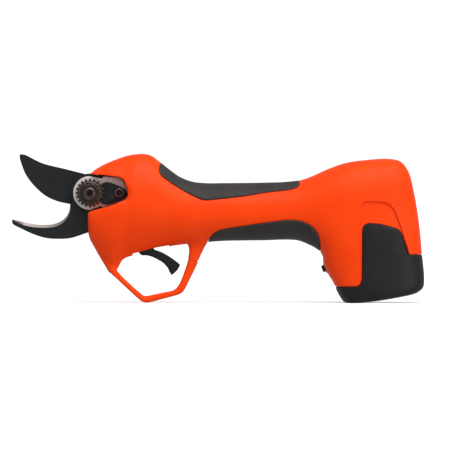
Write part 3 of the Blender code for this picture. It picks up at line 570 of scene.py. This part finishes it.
def black_plastic():
    look = Look("black_plastic")
    base = look.ramp(look.noise(80.0, 3.0), 0.3, 0.7, (0.005, 0.005, 0.0055), (0.009, 0.009, 0.0095))
    look.colour(base)
    look.roughness(look.ramp(look.noise(1400.0, 4.0), 0.3, 0.75, 0.34, 0.50))
    look.bump(look.noise(2600.0, 3.0), 0.00004, 0.5)
    look.set(Specular_IOR_Level=0.25)
    return look.material


def coated_blade():
    look = Look("coated_blade")
    base = look.ramp(look.noise(60.0, 6.0), 0.3, 0.75, (0.0045, 0.0052, 0.0070), (0.0075, 0.0088, 0.0112))
    look.colour(base)
    look.roughness(look.ramp(look.noise(800.0, 5.0), 0.3, 0.75, 0.42, 0.52))
    look.bump(look.noise(2200.0, 5.0), 0.00004, 0.5)
    look.set(Specular_IOR_Level=0.32)
    return look.material


def ground_steel(name="ground_steel", tint=(0.26, 0.21, 0.19), bright=(0.46, 0.39, 0.36), metallic=0.6):
    look = Look(name, metallic)
    brushed = look.noise(420.0, 6.0, 0.65, (0.25, 1.0, 5.0))
    look.colour(look.ramp(brushed, 0.25, 0.8, tint, bright))
    look.roughness(look.ramp(brushed, 0.3, 0.75, 0.26, 0.42))
    look.bump(brushed, 0.00003, 0.5)
    return look.material


def blackened_steel():
    look = Look("blackened_steel", 0.35)
    base = look.ramp(look.noise(260.0, 6.0, 0.65), 0.3, 0.75, (0.008, 0.006, 0.005), (0.024, 0.018, 0.015))
    look.colour(base)
    look.roughness(look.ramp(look.noise(700.0, 5.0), 0.3, 0.75, 0.32, 0.52))
    look.bump(look.noise(1500.0, 5.0), 0.00006, 0.6)
    look.set(Specular_IOR_Level=0.3)
    return look.material


def small_part(name, low, high, rough, metallic=0.0):
    look = Look(name, metallic)
    look.colour(look.ramp(look.noise(300.0, 4.0), 0.3, 0.7, low, high))
    look.roughness(look.ramp(look.noise(900.0, 4.0), 0.3, 0.7, rough, rough + 0.12))
    look.bump(look.noise(1800.0, 3.0), 0.00004, 0.4)
    return look.material


ORANGE = orange_plastic()
RUBBER = black_rubber()
BATTERY_BLACK = battery_plastic()
BLACK = black_plastic()
COATED = coated_blade()
GROUND = ground_steel()
BRIGHT = ground_steel("bright_plate", (0.60, 0.54, 0.53), (0.80, 0.75, 0.74), 0.3)
WORN = ground_steel("worn_edge", (0.10, 0.072, 0.058), (0.24, 0.18, 0.15))
DARK_STEEL = blackened_steel()
BRASS = small_part("bush_brass", (0.62, 0.42, 0.17), (0.74, 0.52, 0.24), 0.30, 1.0)
BOARD = small_part("board_green", (0.014, 0.12, 0.05), (0.02, 0.17, 0.075), 0.45)
WRAP = small_part("cell_wrap", (0.03, 0.14, 0.30), (0.04, 0.18, 0.38), 0.32)

SLOT_LOOKS = {
    "orange_housing": ORANGE, "black_rubber": RUBBER, "black_plastic": BLACK,
    "battery_plastic": BATTERY_BLACK, "coated_blade": COATED, "dark_steel": DARK_STEEL,
    "bright_steel": BRIGHT, "bush_brass": BRASS, "board_green": BOARD, "cell_wrap": WRAP,
}


def dress_frame_nodes():
    """Gives every carried-over CAD node the procedural look of its slot."""
    slots = {part["node"]: part["material_slot"] for part in frame["record"]["subparts"]}
    for name, item in frame["nodes"].items():
        item.data.materials.clear()
        item.data.materials.append(SLOT_LOOKS[slots[name]])


# --- housing ------------------------------------------------------------------

def front_edge(x, z):
    """Distance behind the housing's front face."""
    return x - (-92.0 + np.clip(z - 57.0, 0.0, 33.0) / 32.6)


def housing_depth(x, y, z):
    side = np.abs(y)
    depth = edge_drop(side - SEAM, 0.5)
    depth = depth + edge_drop(signed_distance(grow(ZONE_EDGE, 0.3), x, z), 0.9) * (z > 5.0)
    pocket = signed_distance(POCKET_EDGE, x, z)
    left = (y < -4.0) & (x < -55.0)
    depth = depth + np.where(left, edge_drop(pocket, 1.1), 0.0)
    scoop = np.exp(-(np.clip(pocket, 0.0, None) / 2.6) ** 2) * smooth_step((x + 70.0) / 5.0)
    depth = depth + np.where(left, 1.5 * scoop * smooth_step((84.0 - z) / 8.0), 0.0)
    for edge in (UPPER_EDGE, LOWER_EDGE):
        gap = signed_distance(edge, x, z)
        if edge is UPPER_EDGE:
            gap = np.maximum(gap, SPINE - side)
        depth = depth + edge_drop(gap - 0.15, 0.7)
    depth = depth + edge_drop(front_edge(x, z), 1.3) * (z > 50.0)
    return depth


def skin_cutter(name, edge, inset, side, y_from):
    """Takes the skin away to an inset inside an outline, on one side."""
    shell = plain_body(name, CORE_ROWS, -6.0)
    span = (y_from, 40.0) if side > 0 else (-40.0, -y_from)
    carve(shell, [plain_body(name + "_core", ROWS[::2], inset, 120)])
    return carve(shell, [prism(name + "_window", grow(edge, 0.15), span)], "INTERSECT")


def pack_axes():
    cos, sin = math.cos(PACK_LEAN), math.sin(PACK_LEAN)
    return Vector((cos, 0, sin)), Vector((0, 1, 0)), Vector((-sin, 0, cos))


def pack_sleeve(name, grow_by, w_span):
    """A post along the battery's height with the sleeve's rounded section."""
    u_axis, v_axis, w_axis = pack_axes()
    base = Vector((PACK_ORIGIN[0], 0.0, PACK_ORIGIN[1]))
    corner = SLEEVE_CORNER + grow_by
    far, near = SLEEVE_U[1] - SLEEVE_CORNER, SLEEVE_U[0] + SLEEVE_CORNER
    section = []
    for quarter, (u, side) in enumerate(((far, 1.0), (near, 1.0), (near, -1.0), (far, -1.0))):
        for step in range(9):
            angle = math.pi / 2.0 * (quarter + step / 8.0)
            y = side * (SLEEVE_HALF_Y - SLEEVE_CORNER)
            section.append((u + corner * math.cos(angle), y + corner * math.sin(angle)))
    rings = [[base + u_axis * u + v_axis * y + w_axis * w for u, y in section] for w in w_span]
    return grid_flat(name, rings)


def strap_rings(rows, sides=72):
    """Rings between an outer and an inner point: ox, oz, ix, iz, half-width, squareness."""
    angles = np.linspace(0.0, 2 * math.pi, sides, endpoint=False)
    cos, sin = np.cos(angles), np.sin(angles)
    rings = []
    for ox, oz, ix, iz, half, square in rows:
        across = np.sign(cos) * np.abs(cos) ** (2 / square)
        side = np.sign(sin) * np.abs(sin) ** (2 / square)
        x = (ox + ix) / 2 + (ox - ix) / 2 * across
        z = (oz + iz) / 2 + (oz - iz) / 2 * across
        rings.append(np.column_stack([x, half * side, z]))
    return np.array(rings)


def rear_stub():
    """The root of the guard's rear leg, flaring up into the handle."""
    rows = [(-13.65, 29.9, -21.1, 29.9, 5.8, 3.6), (-12.4, 33.0, -20.8, 33.0, 5.85, 3.4),
            (-10.5, 37.0, -20.4, 37.0, 6.0, 3.2), (-8.9, 40.0, -21.0, 40.0, 6.8, 3.0),
            (-7.2, 42.5, -22.8, 42.5, 8.4, 2.8), (-4.4, 45.5, -26.5, 45.5, 11.0, 2.5),
            (-1.0, 49.0, -31.0, 49.0, 13.6, 2.4), (3.0, 53.0, -34.0, 53.0, 14.6, 2.4)]
    return grid_solid("rear_stub", strap_rings(flowing(rows, 44)))


def front_stub():
    """The chin that the guard's front end meets."""
    rows = [(-75.0, 20.1, -70.9, 22.9, 5.8, 3.6), (-77.6, 23.4, -71.2, 25.8, 6.0, 3.4),
            (-80.3, 27.2, -69.7, 28.6, 6.4, 3.0), (-83.9, 33.2, -66.9, 31.5, 7.2, 2.8),
            (-86.6, 39.0, -62.0, 34.2, 7.8, 2.6), (-88.0, 46.0, -56.0, 40.0, 8.0, 2.6)]
    return grid_solid("front_stub", strap_rings(flowing(rows, 40)))


def gear_bay_outline():
    front = [math.radians(d) for d in range(95, 251, 8)]
    arc = [(PIVOT[0] + 11.4 * math.cos(a), PIVOT[1] + 11.4 * math.sin(a)) for a in front]
    return arc + [(-88.6, 60.0), (-88.0, 47.2), (-71.0, 44.6), (-67.0, 92.0), (-79.0, 92.6)]


def screw_spots():
    """Each housing screw's axis (x, z), from its CAD node."""
    spots = []
    for name in sorted(n for n in frame["nodes"] if n.startswith("housing_screw_")):
        low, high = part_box(name)
        spots.append((name, (low[0] + high[0]) / 2 / MM, (low[2] + high[2]) / 2 / MM))
    return spots


def housing_room():
    """The hollow inside the shells, with the battery's bay."""
    x = (ROWS[:, 0] + ROWS[:, 2]) / 2.0
    first = int(np.argmax(x > -83.1))
    last = int(np.argmax(ROWS[:, 2] > 140.0))
    rows = ROWS[first:last:3]
    room = plain_body("room", rows, rows[:, 8], 72)
    block = prism("left_block", [(-110, 0), (-61.6, 0), (-61.6, 120), (-110, 120)], (-40.0, -5.1))
    carve(room, [block])
    return carve(room, [pack_sleeve("bay", 0.4, (-20.0, 81.5))], "UNION")


def bosses():
    """Screw posts, cut back to stay under the skin."""
    posts = []
    for name, x, z in screw_spots():
        post = turned_y(name + "_post", [(-30.0, 3.4), (30.0, 3.4)], (x, z), 24)
        posts.append(carve(post, [plain_body("under_skin", CORE_ROWS, 1.0, 48)], "INTERSECT"))
    return posts


def make_housing():
    body = sculpted("housing", ROWS, ANGLES, housing_depth)
    nose = turned_y("nose", [(4.0, NOSE_RADIUS), (16.6, NOSE_RADIUS), (17.7, NOSE_RADIUS - 0.5),
                             (18.2, NOSE_RADIUS - 1.8)], PIVOT, 96)
    carve(body, [prism("battery_gap", grow(ZONE_EDGE, 0.3), (-40.0, 40.0))])
    carve(body, [rear_stub(), front_stub(), nose], "UNION")
    carve(body, [housing_room()])
    carve(body, bosses(), "UNION")
    cutters = []
    for name, x, z in screw_spots():
        steps = [(-9.4, 1.5), (4.2, 1.5), (4.3, 2.9), (32.0, 2.9)]
        cutters.append(turned_y(name + "_well", steps, (x, z), 32))
    cutters.append(prism("gear_bay", gear_bay_outline(), (3.0, 13.1)))
    cutters.append(turned_y("bolt_room", [(12.0, 8.2), (16.4, 8.2)], PIVOT))
    cutters.append(prism("front_slot", rounded(SLOT, 1.0), (-5.5, 3.7)))
    cutters.append(prism("pocket", POCKET_EDGE, (-40.0, -4.0)))
    slot = [(-60.2, 30.0), (-34.5, 30.0), (-34.5, 42.0), (-45.0, 50.5), (-60.2, 50.5)]
    chin = [(-84.5, 13.5), (-75.2, 19.7), (-70.9, 22.6), (-60.0, 21.0), (-60.0, 5.0), (-84.5, 5.0)]
    cutters.append(prism("chin_cut", chin, (-30.0, 30.0)))
    cutters.append(prism("trigger_slot", slot, (-TRIGGER_HALF_Y - 0.5, TRIGGER_HALF_Y + 0.5)))
    cutters.append(turned("button_hole", [(-9.0, 4.0), (6.0, 4.0)], BUTTON_FACE, BUTTON_NORMAL, 40))
    carve(body, cutters)
    for side, label in ((-1, "left"), (1, "right")):
        shell = duplicate(body, "shell_" + label)
        box = [(-200.0, -50.0), (200.0, -50.0), (200.0, 150.0), (-200.0, 150.0)]
        span = (SEAM, 60.0) if side > 0 else (-60.0, -SEAM)
        carve(shell, [prism("half", box, span)], "INTERSECT")
        carve(shell, [skin_cutter("upper_inset", UPPER_EDGE, 1.65, side, SPINE - 0.15),
                      skin_cutter("lower_inset", LOWER_EDGE, 1.65, side, -1.0),
                      skin_cutter("recess", RECESS_EDGE, 1.3, side, 4.0),
                      skin_cutter("latch_well", grow(WELL_EDGE, 0.2), 3.4, side, 4.0)])
        finish_piece(shell, "housing", ["housing_" + label], ORANGE)
    bpy.data.objects.remove(body, do_unlink=True)


def make_grips():
    for edge, label, y_from, x_span, proud in ((UPPER_EDGE, "upper", SPINE, (-62, 75), 0.55),
                                               (LOWER_EDGE, "lower", 0.15, (-25, 105), 0.35)):
        def depth(x, y, z, edge=edge, y_from=y_from, proud=proud):
            inside = -signed_distance(edge, x, z)
            inside = np.minimum(inside, np.abs(y) - y_from)
            return edge_drop(inside, 0.8) - proud
        rows = rows_between(ROWS, *x_span)
        skin = sculpted("grip_skin", rows, ANGLES, depth)
        core_rows = rows_between(ROWS[::2], x_span[0] - 8, x_span[1] + 8)
        carve(skin, [plain_body("grip_core", core_rows, 1.4, 120)])
        for side, name in ((-1, "left"), (1, "right")):
            piece = duplicate(skin, f"rubber_{label}_{name}")
            span = (y_from, 40.0) if side > 0 else (-40.0, -y_from)
            carve(piece, [prism("window", edge, span)], "INTERSECT")
            finish_piece(piece, "housing", [f"grip_{label}_{name}"], RUBBER)
        bpy.data.objects.remove(skin, do_unlink=True)


def peg_rings(end, outward):
    """A short locating peg on the end of the guard, beyond its end ring."""
    centre = end.mean(axis=0)
    step = outward.mean(axis=0)
    step = step / np.linalg.norm(step)
    slim = centre + (end - centre) * 0.8
    return [slim, slim + step * 1.6]


def make_guard():
    """The bow below the trigger: a rounded strap swept from nose to rear leg."""
    outer = settle(flowing(GUARD_OUTER, 120), 6)
    inner = settle(flowing(GUARD_INNER, 120), 6)
    rows = np.column_stack([outer, inner, np.full(120, GUARD_HALF_Y), np.full(120, 3.6)])
    strap = strap_rings(rows, 48)
    rings = peg_rings(strap[0], strap[0] - strap[1])[::-1] + list(strap) + \
        peg_rings(strap[-1], strap[-1] - strap[-2])
    guard = grid_solid("guard_strap", np.array(rings))
    finish_piece(guard, "housing", ["trigger_guard"], ORANGE)


# --- blade head ---------------------------------------------------------------

def bevel_cutter(name, edge, inward, width, face_y, back_y):
    """A swept wedge that grinds a bevel along an edge, from face_y to back_y."""
    away = math.copysign(1.6, face_y - back_y)
    rings = []
    for (x, z), (nx, nz), w in zip(edge, inward, width):
        slope = (back_y - face_y) / max(w, 0.05)
        inner = (w + 0.25, face_y - slope * 0.25)
        outer = (-1.5, back_y + slope * 1.5)
        ring = [(x + nx * inner[0], inner[1], z + nz * inner[0]),
                (x + nx * outer[0], outer[1], z + nz * outer[0]),
                (x + nx * outer[0], face_y + away, z + nz * outer[0]),
                (x + nx * inner[0], face_y + away, z + nz * inner[0])]
        rings.append(ring)
    return grid_flat(name, rings)


def normals_of(curve, left=True):
    tangent = np.gradient(curve, axis=0)
    tangent /= np.linalg.norm(tangent, axis=1, keepdims=True)
    normal = np.column_stack([-tangent[:, 1], tangent[:, 0]])
    return normal if left else -normal


def paint_bevels(item, coating, ground, low=0.2, high=0.985):
    """Coats a piece, but leaves its slanted faces, ground or worn, bare."""
    item.data.materials.clear()
    item.data.materials.append(coating)
    item.data.materials.append(ground)
    for face in item.data.polygons:
        slanted = low < abs(face.normal.y) < high
        face.material_index = 1 if slanted else 0


def make_blade():
    spine = flowing([(-136.9, 104.3), (-134.6, 103.6), (-123.3, 98.1), (-107.0, 94.0), (-92.0, 90.2),
                     (-81.5, 87.2)], 60)
    edge = flowing([(-139.7, 103.2), (-139.1, 99.9), (-135.5, 90.5), (-129.7, 82.6), (-121.8, 75.5),
                    (-113.3, 71.5), (-103.9, 69.3), (-98.0, 67.6)], 90)
    heel = [(-92.5, 64.9), (-89.8, 64.4), (-84.0, 65.8), (-79.0, 70.0), (-77.0, 77.2), (-78.6, 83.4)]
    tip = [(-139.6, 104.1), (-138.6, 104.6)]
    outline = [tuple(p) for p in edge] + heel + [tuple(p) for p in spine[::-1]] + tip[::-1]
    blade = prism("blade", outline, (0.0, 3.2))
    width = 5.4 * np.minimum(1.0, np.linspace(0.15, 2.2, len(edge))) * np.linspace(1.0, 0.75, len(edge))
    inward = normals_of(edge, left=True)
    carve(blade, [bevel_cutter("grind", edge, inward, width, 3.2, 0.35),
                  turned_y("bore", [(-5.0, 5.4), (8.0, 5.4)], PIVOT, 48)])
    paint_bevels(blade, COATED, GROUND)
    soften(blade, 0.14, 1, 50)
    return finish_piece(blade, "blade", ["moving_blade"], COATED, 28)


def make_jaw():
    outer = flowing([(-144.9, 57.6), (-144.1, 55.3), (-140.5, 53.2), (-129.7, 48.2), (-121.1, 45.6),
                     (-112.5, 44.9), (-103.2, 45.6), (-92.1, 49.2)], 80)
    inner = flowing([(-144.4, 58.7), (-135.5, 56.4), (-129.7, 55.3), (-123.3, 54.8), (-116.1, 55.3),
                     (-110.4, 57.5), (-106.8, 60.7), (-104.7, 64.7), (-104.0, 69.0)], 80)
    rest = [(-82.0, 49.2), (-80.0, 47.4), (-73.0, 48.0), (-71.0, 52.0), (-72.0, 58.0), (-78.5, 67.0)]
    boss = [(PIVOT[0] + 13.75 * math.cos(a), PIVOT[1] + 13.75 * math.sin(a)) for a in
            (math.radians(d) for d in range(0, 208, 4))]
    outline = [tuple(p) for p in outer] + rest + boss + [tuple(p) for p in inner[::-1]]
    jaw = prism("jaw", outline, (-4.8, -0.3))
    taper = np.minimum(1.0, np.minimum(np.linspace(0.1, 5.0, len(inner)), np.linspace(3.0, 0.0, len(inner))))
    width = 0.15 + 1.9 * taper
    inward = normals_of(inner, left=False)
    carve(jaw, [bevel_cutter("grind", inner, inward, width, -4.8, -3.0),
                turned_y("bore", [(-9.0, 3.9), (2.0, 3.9)], PIVOT, 48)])
    paint_bevels(jaw, COATED, GROUND)
    rim = turned_y("rim", [(-4.98, 12.7), (-4.98, 13.2), (-4.7, 13.5), (-4.5, 13.5)], PIVOT, 96)
    carve(jaw, [rim], "UNION")
    carve(jaw, [turned_y("bore", [(-9.0, 3.9), (2.0, 3.9)], PIVOT, 48)])
    soften(jaw, 0.16, 1, 50)
    return finish_piece(jaw, "housing", ["fixed_jaw"], COATED, 28)


def toothed(radius, depth, teeth, phase, root, tip, base=(0.0, 0.0)):
    """A toothed outline: root and tip are shares of the pitch."""
    points = []
    pitch = 2.0 * math.pi / teeth
    for i in range(teeth):
        middle = phase + pitch * i
        for offset, reach in ((-root, radius - depth), (-tip / 2, radius - 0.12), (0.0, radius),
                              (tip / 2, radius - 0.12), (root, radius - depth)):
            a = middle + offset * pitch
            points.append((base[0] + reach * math.cos(a), base[1] + reach * math.sin(a)))
    return points


def make_nut():
    outline = toothed(NUT_RADIUS, 1.7, NUT_TEETH, math.pi / 2, 0.38, 0.22, PIVOT)
    nut = prism("nut", outline, (-11.6, -7.6))
    step = turned_y("step", [(-12.6, 7.5), (-12.2, 7.9), (-10.0, 8.0)], PIVOT, 64)
    hexagon = [(PIVOT[0] + 6.9 * math.cos(a), PIVOT[1] + 6.9 * math.sin(a)) for a in
               (math.radians(d + 12) for d in range(0, 360, 60))]
    collar = prism("collar", rounded(hexagon, 1.2), (-13.5, -12.0))
    carve(nut, [step, collar], "UNION")
    groove = turned_y("groove", [(-20.0, 4.5), (-13.1, 4.5)], PIVOT, 48)
    carve(nut, [groove, turned_y("bore", [(-20.0, 3.9), (0.0, 3.9)], PIVOT, 48)])
    soften(nut, 0.25, 2, 35)
    paint_bevels(nut, DARK_STEEL, WORN, 0.25, 0.97)
    finish_piece(nut, "housing", ["adjusting_nut"], DARK_STEEL)


def make_bolt():
    steps = [(-14.2, 2.9), (-13.9, 3.4), (-13.5, 3.7), (13.1, 3.7), (13.15, 7.6), (15.7, 7.4), (16.0, 7.1)]
    bolt = turned_y("bolt", steps, PIVOT, 48)
    carve(bolt, [turned_y("socket", [(-18.0, 1.55), (-11.5, 1.55)], PIVOT, 6)])
    paint_bevels(bolt, DARK_STEEL, WORN, 0.25, 0.97)
    finish_piece(bolt, "housing", ["pivot_bolt"], DARK_STEEL)


def make_cover_and_lock():
    arc = [(PIVOT[0] + 11.9 * math.cos(a), PIVOT[1] + 11.9 * math.sin(a)) for a in
           (math.radians(d) for d in range(96, 272, 5))]
    cover = [(-81.0, 88.9), (-69.6, 87.9), (-67.2, 86.4), (-64.4, 81.2), (-63.5, 76.2), (-64.4, 73.4),
             (-73.5, 69.4), (-82.0, 66.8)]
    outline = rounded(cover, 1.6)
    plate = prism("cover", outline[::-1] + arc, (-7.3, -5.1))
    holes = [turned_y("bore", [(-20.0, 3.9), (0.0, 3.9)], PIVOT, 48),
             turned_y("hole", [(-20.0, 1.3), (0.0, 1.3)], LOCK_SCREW, 24)]
    carve(plate, holes)
    soften(plate, 0.35, 2, 50)
    finish_piece(plate, "housing", ["cover_plate"], BRIGHT)
    lock = [(-84.5, 82.3), (-78.6, 84.9), (-75.0, 84.3), (-69.0, 82.0), (-64.9, 79.8), (-63.7, 76.7),
            (-64.8, 74.1), (-68.6, 72.0), (-73.5, 69.8), (-79.9, 68.6), (-84.5, 72.0)]
    arm = prism("lock", rounded(lock, 1.4), (-10.4, -7.6))
    teeth = toothed(NUT_RADIUS + 0.3, 1.8, NUT_TEETH, math.pi / 2, 0.40, 0.30, PIVOT)
    carve(arm, [prism("mesh", teeth, (-20.0, 0.0)),
                turned_y("hole", [(-20.0, 1.7), (0.0, 1.7)], LOCK_SCREW, 24)])
    soften(arm, 0.3, 2, 50)
    finish_piece(arm, "housing", ["lock_plate"], BLACK)
    steps = [(-12.6, 2.5), (-12.45, 2.9), (-12.2, 3.1), (-10.7, 3.2), (-10.65, 1.4), (-7.6, 1.4),
             (-7.5, 1.1), (-5.3, 1.1)]
    screw = turned_y("lock_bolt", steps, LOCK_SCREW, 48)
    carve(screw, [turned_y("socket", [(-18.0, 2.1), (-11.2, 2.1)], LOCK_SCREW, 6)])
    paint_bevels(screw, DARK_STEEL, WORN, 0.15, 0.97)
    finish_piece(screw, "housing", ["lock_screw"], DARK_STEEL)


def make_screws():
    for name, x, z in screw_spots():
        steps = [(-8.8, 1.2), (4.6, 1.2), (4.65, 2.6), (6.4, 2.55), (6.85, 2.2), (7.0, 1.6)]
        screw = turned_y(name + "_fine", steps, (x, z), 32)
        carve(screw, [turned_y("drive", [(5.2, 1.15), (9.0, 1.15)], (x, z), 6)])
        finish_piece(screw, "housing", [name], DARK_STEEL)


# --- trigger, button, battery -------------------------------------------------

def make_trigger():
    lower = flowing([(-55.8, 35.4), (-53.6, 33.4), (-49.6, 33.2), (-44.8, 31.6), (-39.1, 28.4),
                     (-35.8, 25.0), (-33.9, 21.3), (-32.8, 19.4)], 40)
    upper = flowing([(-26.7, 26.3), (-27.6, 27.6), (-32.6, 31.4), (-39.1, 35.3), (-44.8, 37.4)], 30)
    hub = rounded([(-49.0, 45.6), (-51.2, 48.8), (-55.4, 48.9), (-57.9, 46.0), (-57.9, 41.0)], 1.5)
    outline = [tuple(p) for p in lower] + [(-30.6, 20.9), (-28.4, 23.2)] + [tuple(p) for p in upper] + hub[4:]
    trigger = prism("trigger_lever", outline, (-TRIGGER_HALF_Y, TRIGGER_HALF_Y))
    carve(trigger, [turned_y("bore", [(-9.0, 1.5), (9.0, 1.5)], (-53.5, 45.0), 32)])
    soften(trigger, 1.1, 4, 60)
    finish_piece(trigger, "trigger", ["trigger"], BLACK)


def make_button():
    cap = [(-3.4, 3.3), (-2.9, 3.3), (-2.85, 2.5), (1.7, 2.5), (2.2, 2.3), (2.5, 1.8)]
    button = turned("button_cap", cap, BUTTON_FACE, BUTTON_NORMAL, 48)
    finish_piece(button, "button", ["power_button"], BLACK)
    ring = turned("bezel", [(-2.5, 3.7), (0.2, 3.7), (0.5, 3.4)], BUTTON_FACE, BUTTON_NORMAL, 48)
    carve(ring, [turned("bore", [(-6.0, 2.8), (6.0, 2.8)], BUTTON_FACE, BUTTON_NORMAL, 48)])
    finish_piece(ring, "housing", ["button_bezel"], BLACK)


def battery_depth(x, _y, z):
    inside = -signed_distance(BLACK_EDGE, x, z)
    return edge_drop(inside, 0.8)


def make_battery():
    rows = ROWS[int(np.argmax(ROWS[:, 0] > 66.0)):]
    base = sculpted("battery_case", rows, ANGLES, battery_depth)
    carve(base, [prism("window", BLACK_EDGE, (-40.0, 40.0))], "INTERSECT")
    above = [(90.0, 33.6), (133.35, 33.78), (133.35, 80.0), (90.0, 80.0)]
    carve(base, [prism("latch_side", above, (-40.0, 40.0))])
    carve(base, [pack_sleeve("well", -1.2, (9.5, 200.0)),
                 prism("port", rounded([(125.0, 7.0), (128.2, 7.0), (128.2, 0.0), (125.0, 0.0)], 0.5),
                       (-5.0, 5.0))])
    finish_piece(base, "battery", ["battery_base"], BATTERY_BLACK)


def latch_depth(x, _y, z):
    inside = -signed_distance(BLACK_EDGE, x, z)
    return 0.4 + edge_drop(inside, 0.9)


def finger_rib(rows, first, last, height, span):
    """A thin raised line across a latch."""
    rib = plain_body("rib", rows, 0.12, 120)
    outline = [(first, height - 0.28), (last, height - 0.28), (last, height + 0.28), (first, height + 0.28)]
    return carve(rib, [prism("rib_window", rounded(outline, 0.25), span)], "INTERSECT")


def make_latches():
    rows = rows_between(ROWS, 84, 140)
    skin = sculpted("latch_skin", rows, ANGLES, latch_depth)
    carve(skin, [plain_body("latch_core", ROWS[::2], 2.3, 120)])
    below = [(80.0, 33.75), (150.0, 33.95), (150.0, -5.0), (80.0, -5.0)]
    for side, name in ((-1, "left"), (1, "right")):
        piece = duplicate(skin, "latch_tab_" + name)
        span = (5.0, 40.0) if side > 0 else (-40.0, -5.0)
        carve(piece, [prism("window", BLACK_EDGE, span)], "INTERSECT")
        carve(piece, [prism("below", below, (-40.0, 40.0))])
        rib_span = (20.0, 40.0) if side > 0 else (-40.0, -20.0)
        ribs = [finger_rib(rows, first, last, height, rib_span) for first, last, height in
                ((105.0, 122.4, 48.0), (106.6, 123.6, 44.6), (106.6, 123.6, 41.2), (110.0, 123.2, 37.8))]
        carve(piece, ribs, "UNION")
        finish_piece(piece, "latch_" + name, ["battery_latch_" + name], BATTERY_BLACK)
    bpy.data.objects.remove(skin, do_unlink=True)


# --- stage --------------------------------------------------------------------

def camera_only(item):
    """Keeps a white surround out of the object's own light and reflections."""
    item.visible_diffuse = False
    item.visible_glossy = False
    item.visible_transmission = False
    item.visible_shadow = False


def make_stage():
    """A plain white floor inside a plain white surround."""
    reach = 12.0
    bm = bmesh.new()
    corners = [bm.verts.new((x * reach, y * reach, 0.0)) for x, y in ((-1, -1), (1, -1), (1, 1), (-1, 1))]
    bm.faces.new(corners)
    mesh = bpy.data.meshes.new("floor")
    bm.to_mesh(mesh)
    bm.free()
    floor = link("floor", mesh)
    look = Look("pale_floor")
    look.colour(look.ramp(look.noise(2.0, 3.0), 0.3, 0.7, (0.80, 0.80, 0.80), (0.83, 0.83, 0.83)))
    look.roughness(look.ramp(look.noise(40.0, 3.0), 0.3, 0.7, 0.80, 0.95))
    look.set(Emission_Color=(1.0, 1.0, 1.0, 1.0), Emission_Strength=0.42, Specular_IOR_Level=0.1)
    mesh.materials.append(look.material)
    dome_mesh = bpy.data.meshes.new("surround")
    bm = bmesh.new()
    bmesh.ops.create_uvsphere(bm, u_segments=48, v_segments=24, radius=11.5)
    bmesh.ops.reverse_faces(bm, faces=bm.faces)
    bm.to_mesh(dome_mesh)
    bm.free()
    dome_mesh.shade_smooth()
    dome = link("surround", dome_mesh)
    white = Look("white_surround")
    white.set(Emission_Color=(1.0, 1.0, 1.0, 1.0), Emission_Strength=1.0, Specular_IOR_Level=0.0)
    white.colour(white.ramp(white.noise(0.2, 2.0), 0.3, 0.7, 0.1, 0.12))
    dome_mesh.materials.append(white.material)
    for item in (floor, dome):
        camera_only(item)


def area_light(name, place, target, size, power):
    data = bpy.data.lights.new(name, "AREA")
    data.shape = "RECTANGLE"
    data.size, data.size_y = size
    data.energy = power
    lamp = bpy.data.objects.new(name, data)
    bpy.context.collection.objects.link(lamp)
    lamp.location = place
    lamp.rotation_euler = (Vector(target) - Vector(place)).to_track_quat("-Z", "Y").to_euler()


def make_lights():
    world = bpy.data.worlds.new("studio")
    bpy.context.scene.world = world
    world.use_nodes = True
    world.node_tree.nodes["Background"].inputs["Color"].default_value = (1.0, 1.0, 1.0, 1.0)
    world.node_tree.nodes["Background"].inputs["Strength"].default_value = 0.5
    data = bpy.data.lights.new("key", "SUN")
    data.energy = 1.95
    data.angle = math.radians(50.0)
    key = bpy.data.objects.new("key", data)
    bpy.context.collection.objects.link(key)
    key.rotation_euler = Vector((-0.22, 0.58, -0.79)).to_track_quat("-Z", "Y").to_euler()
    area_light("softbox", (0.1, -0.35, 0.9), (0.02, 0.0, 0.07), (0.7, 0.16), 1.0)
    area_light("fill", (0.75, -0.75, -0.05), (0.08, 0.0, 0.05), (0.6, 0.6), 2.0)


def make_camera():
    """A long lens square to the tool's left side."""
    data = bpy.data.cameras.new("camera")
    distance = 3.0
    view_width = 0.3182
    data.sensor_width = 36.0
    data.lens = 36.0 * distance / view_width
    data.clip_end = 20.0
    camera = bpy.data.objects.new("camera", data)
    bpy.context.collection.objects.link(camera)
    camera.location = (0.0056, -distance, 0.0540)
    camera.rotation_euler = (math.pi / 2, 0.0, 0.0)
    bpy.context.scene.camera = camera
    bpy.context.scene.view_settings.view_transform = "Standard"


def main():
    make_camera()
    dress_frame_nodes()
    make_housing()
    make_grips()
    make_guard()
    make_blade()
    make_jaw()
    make_nut()
    make_bolt()
    make_cover_and_lock()
    make_screws()
    make_trigger()
    make_button()
    make_battery()
    make_latches()
    make_stage()
    make_lights()


main()
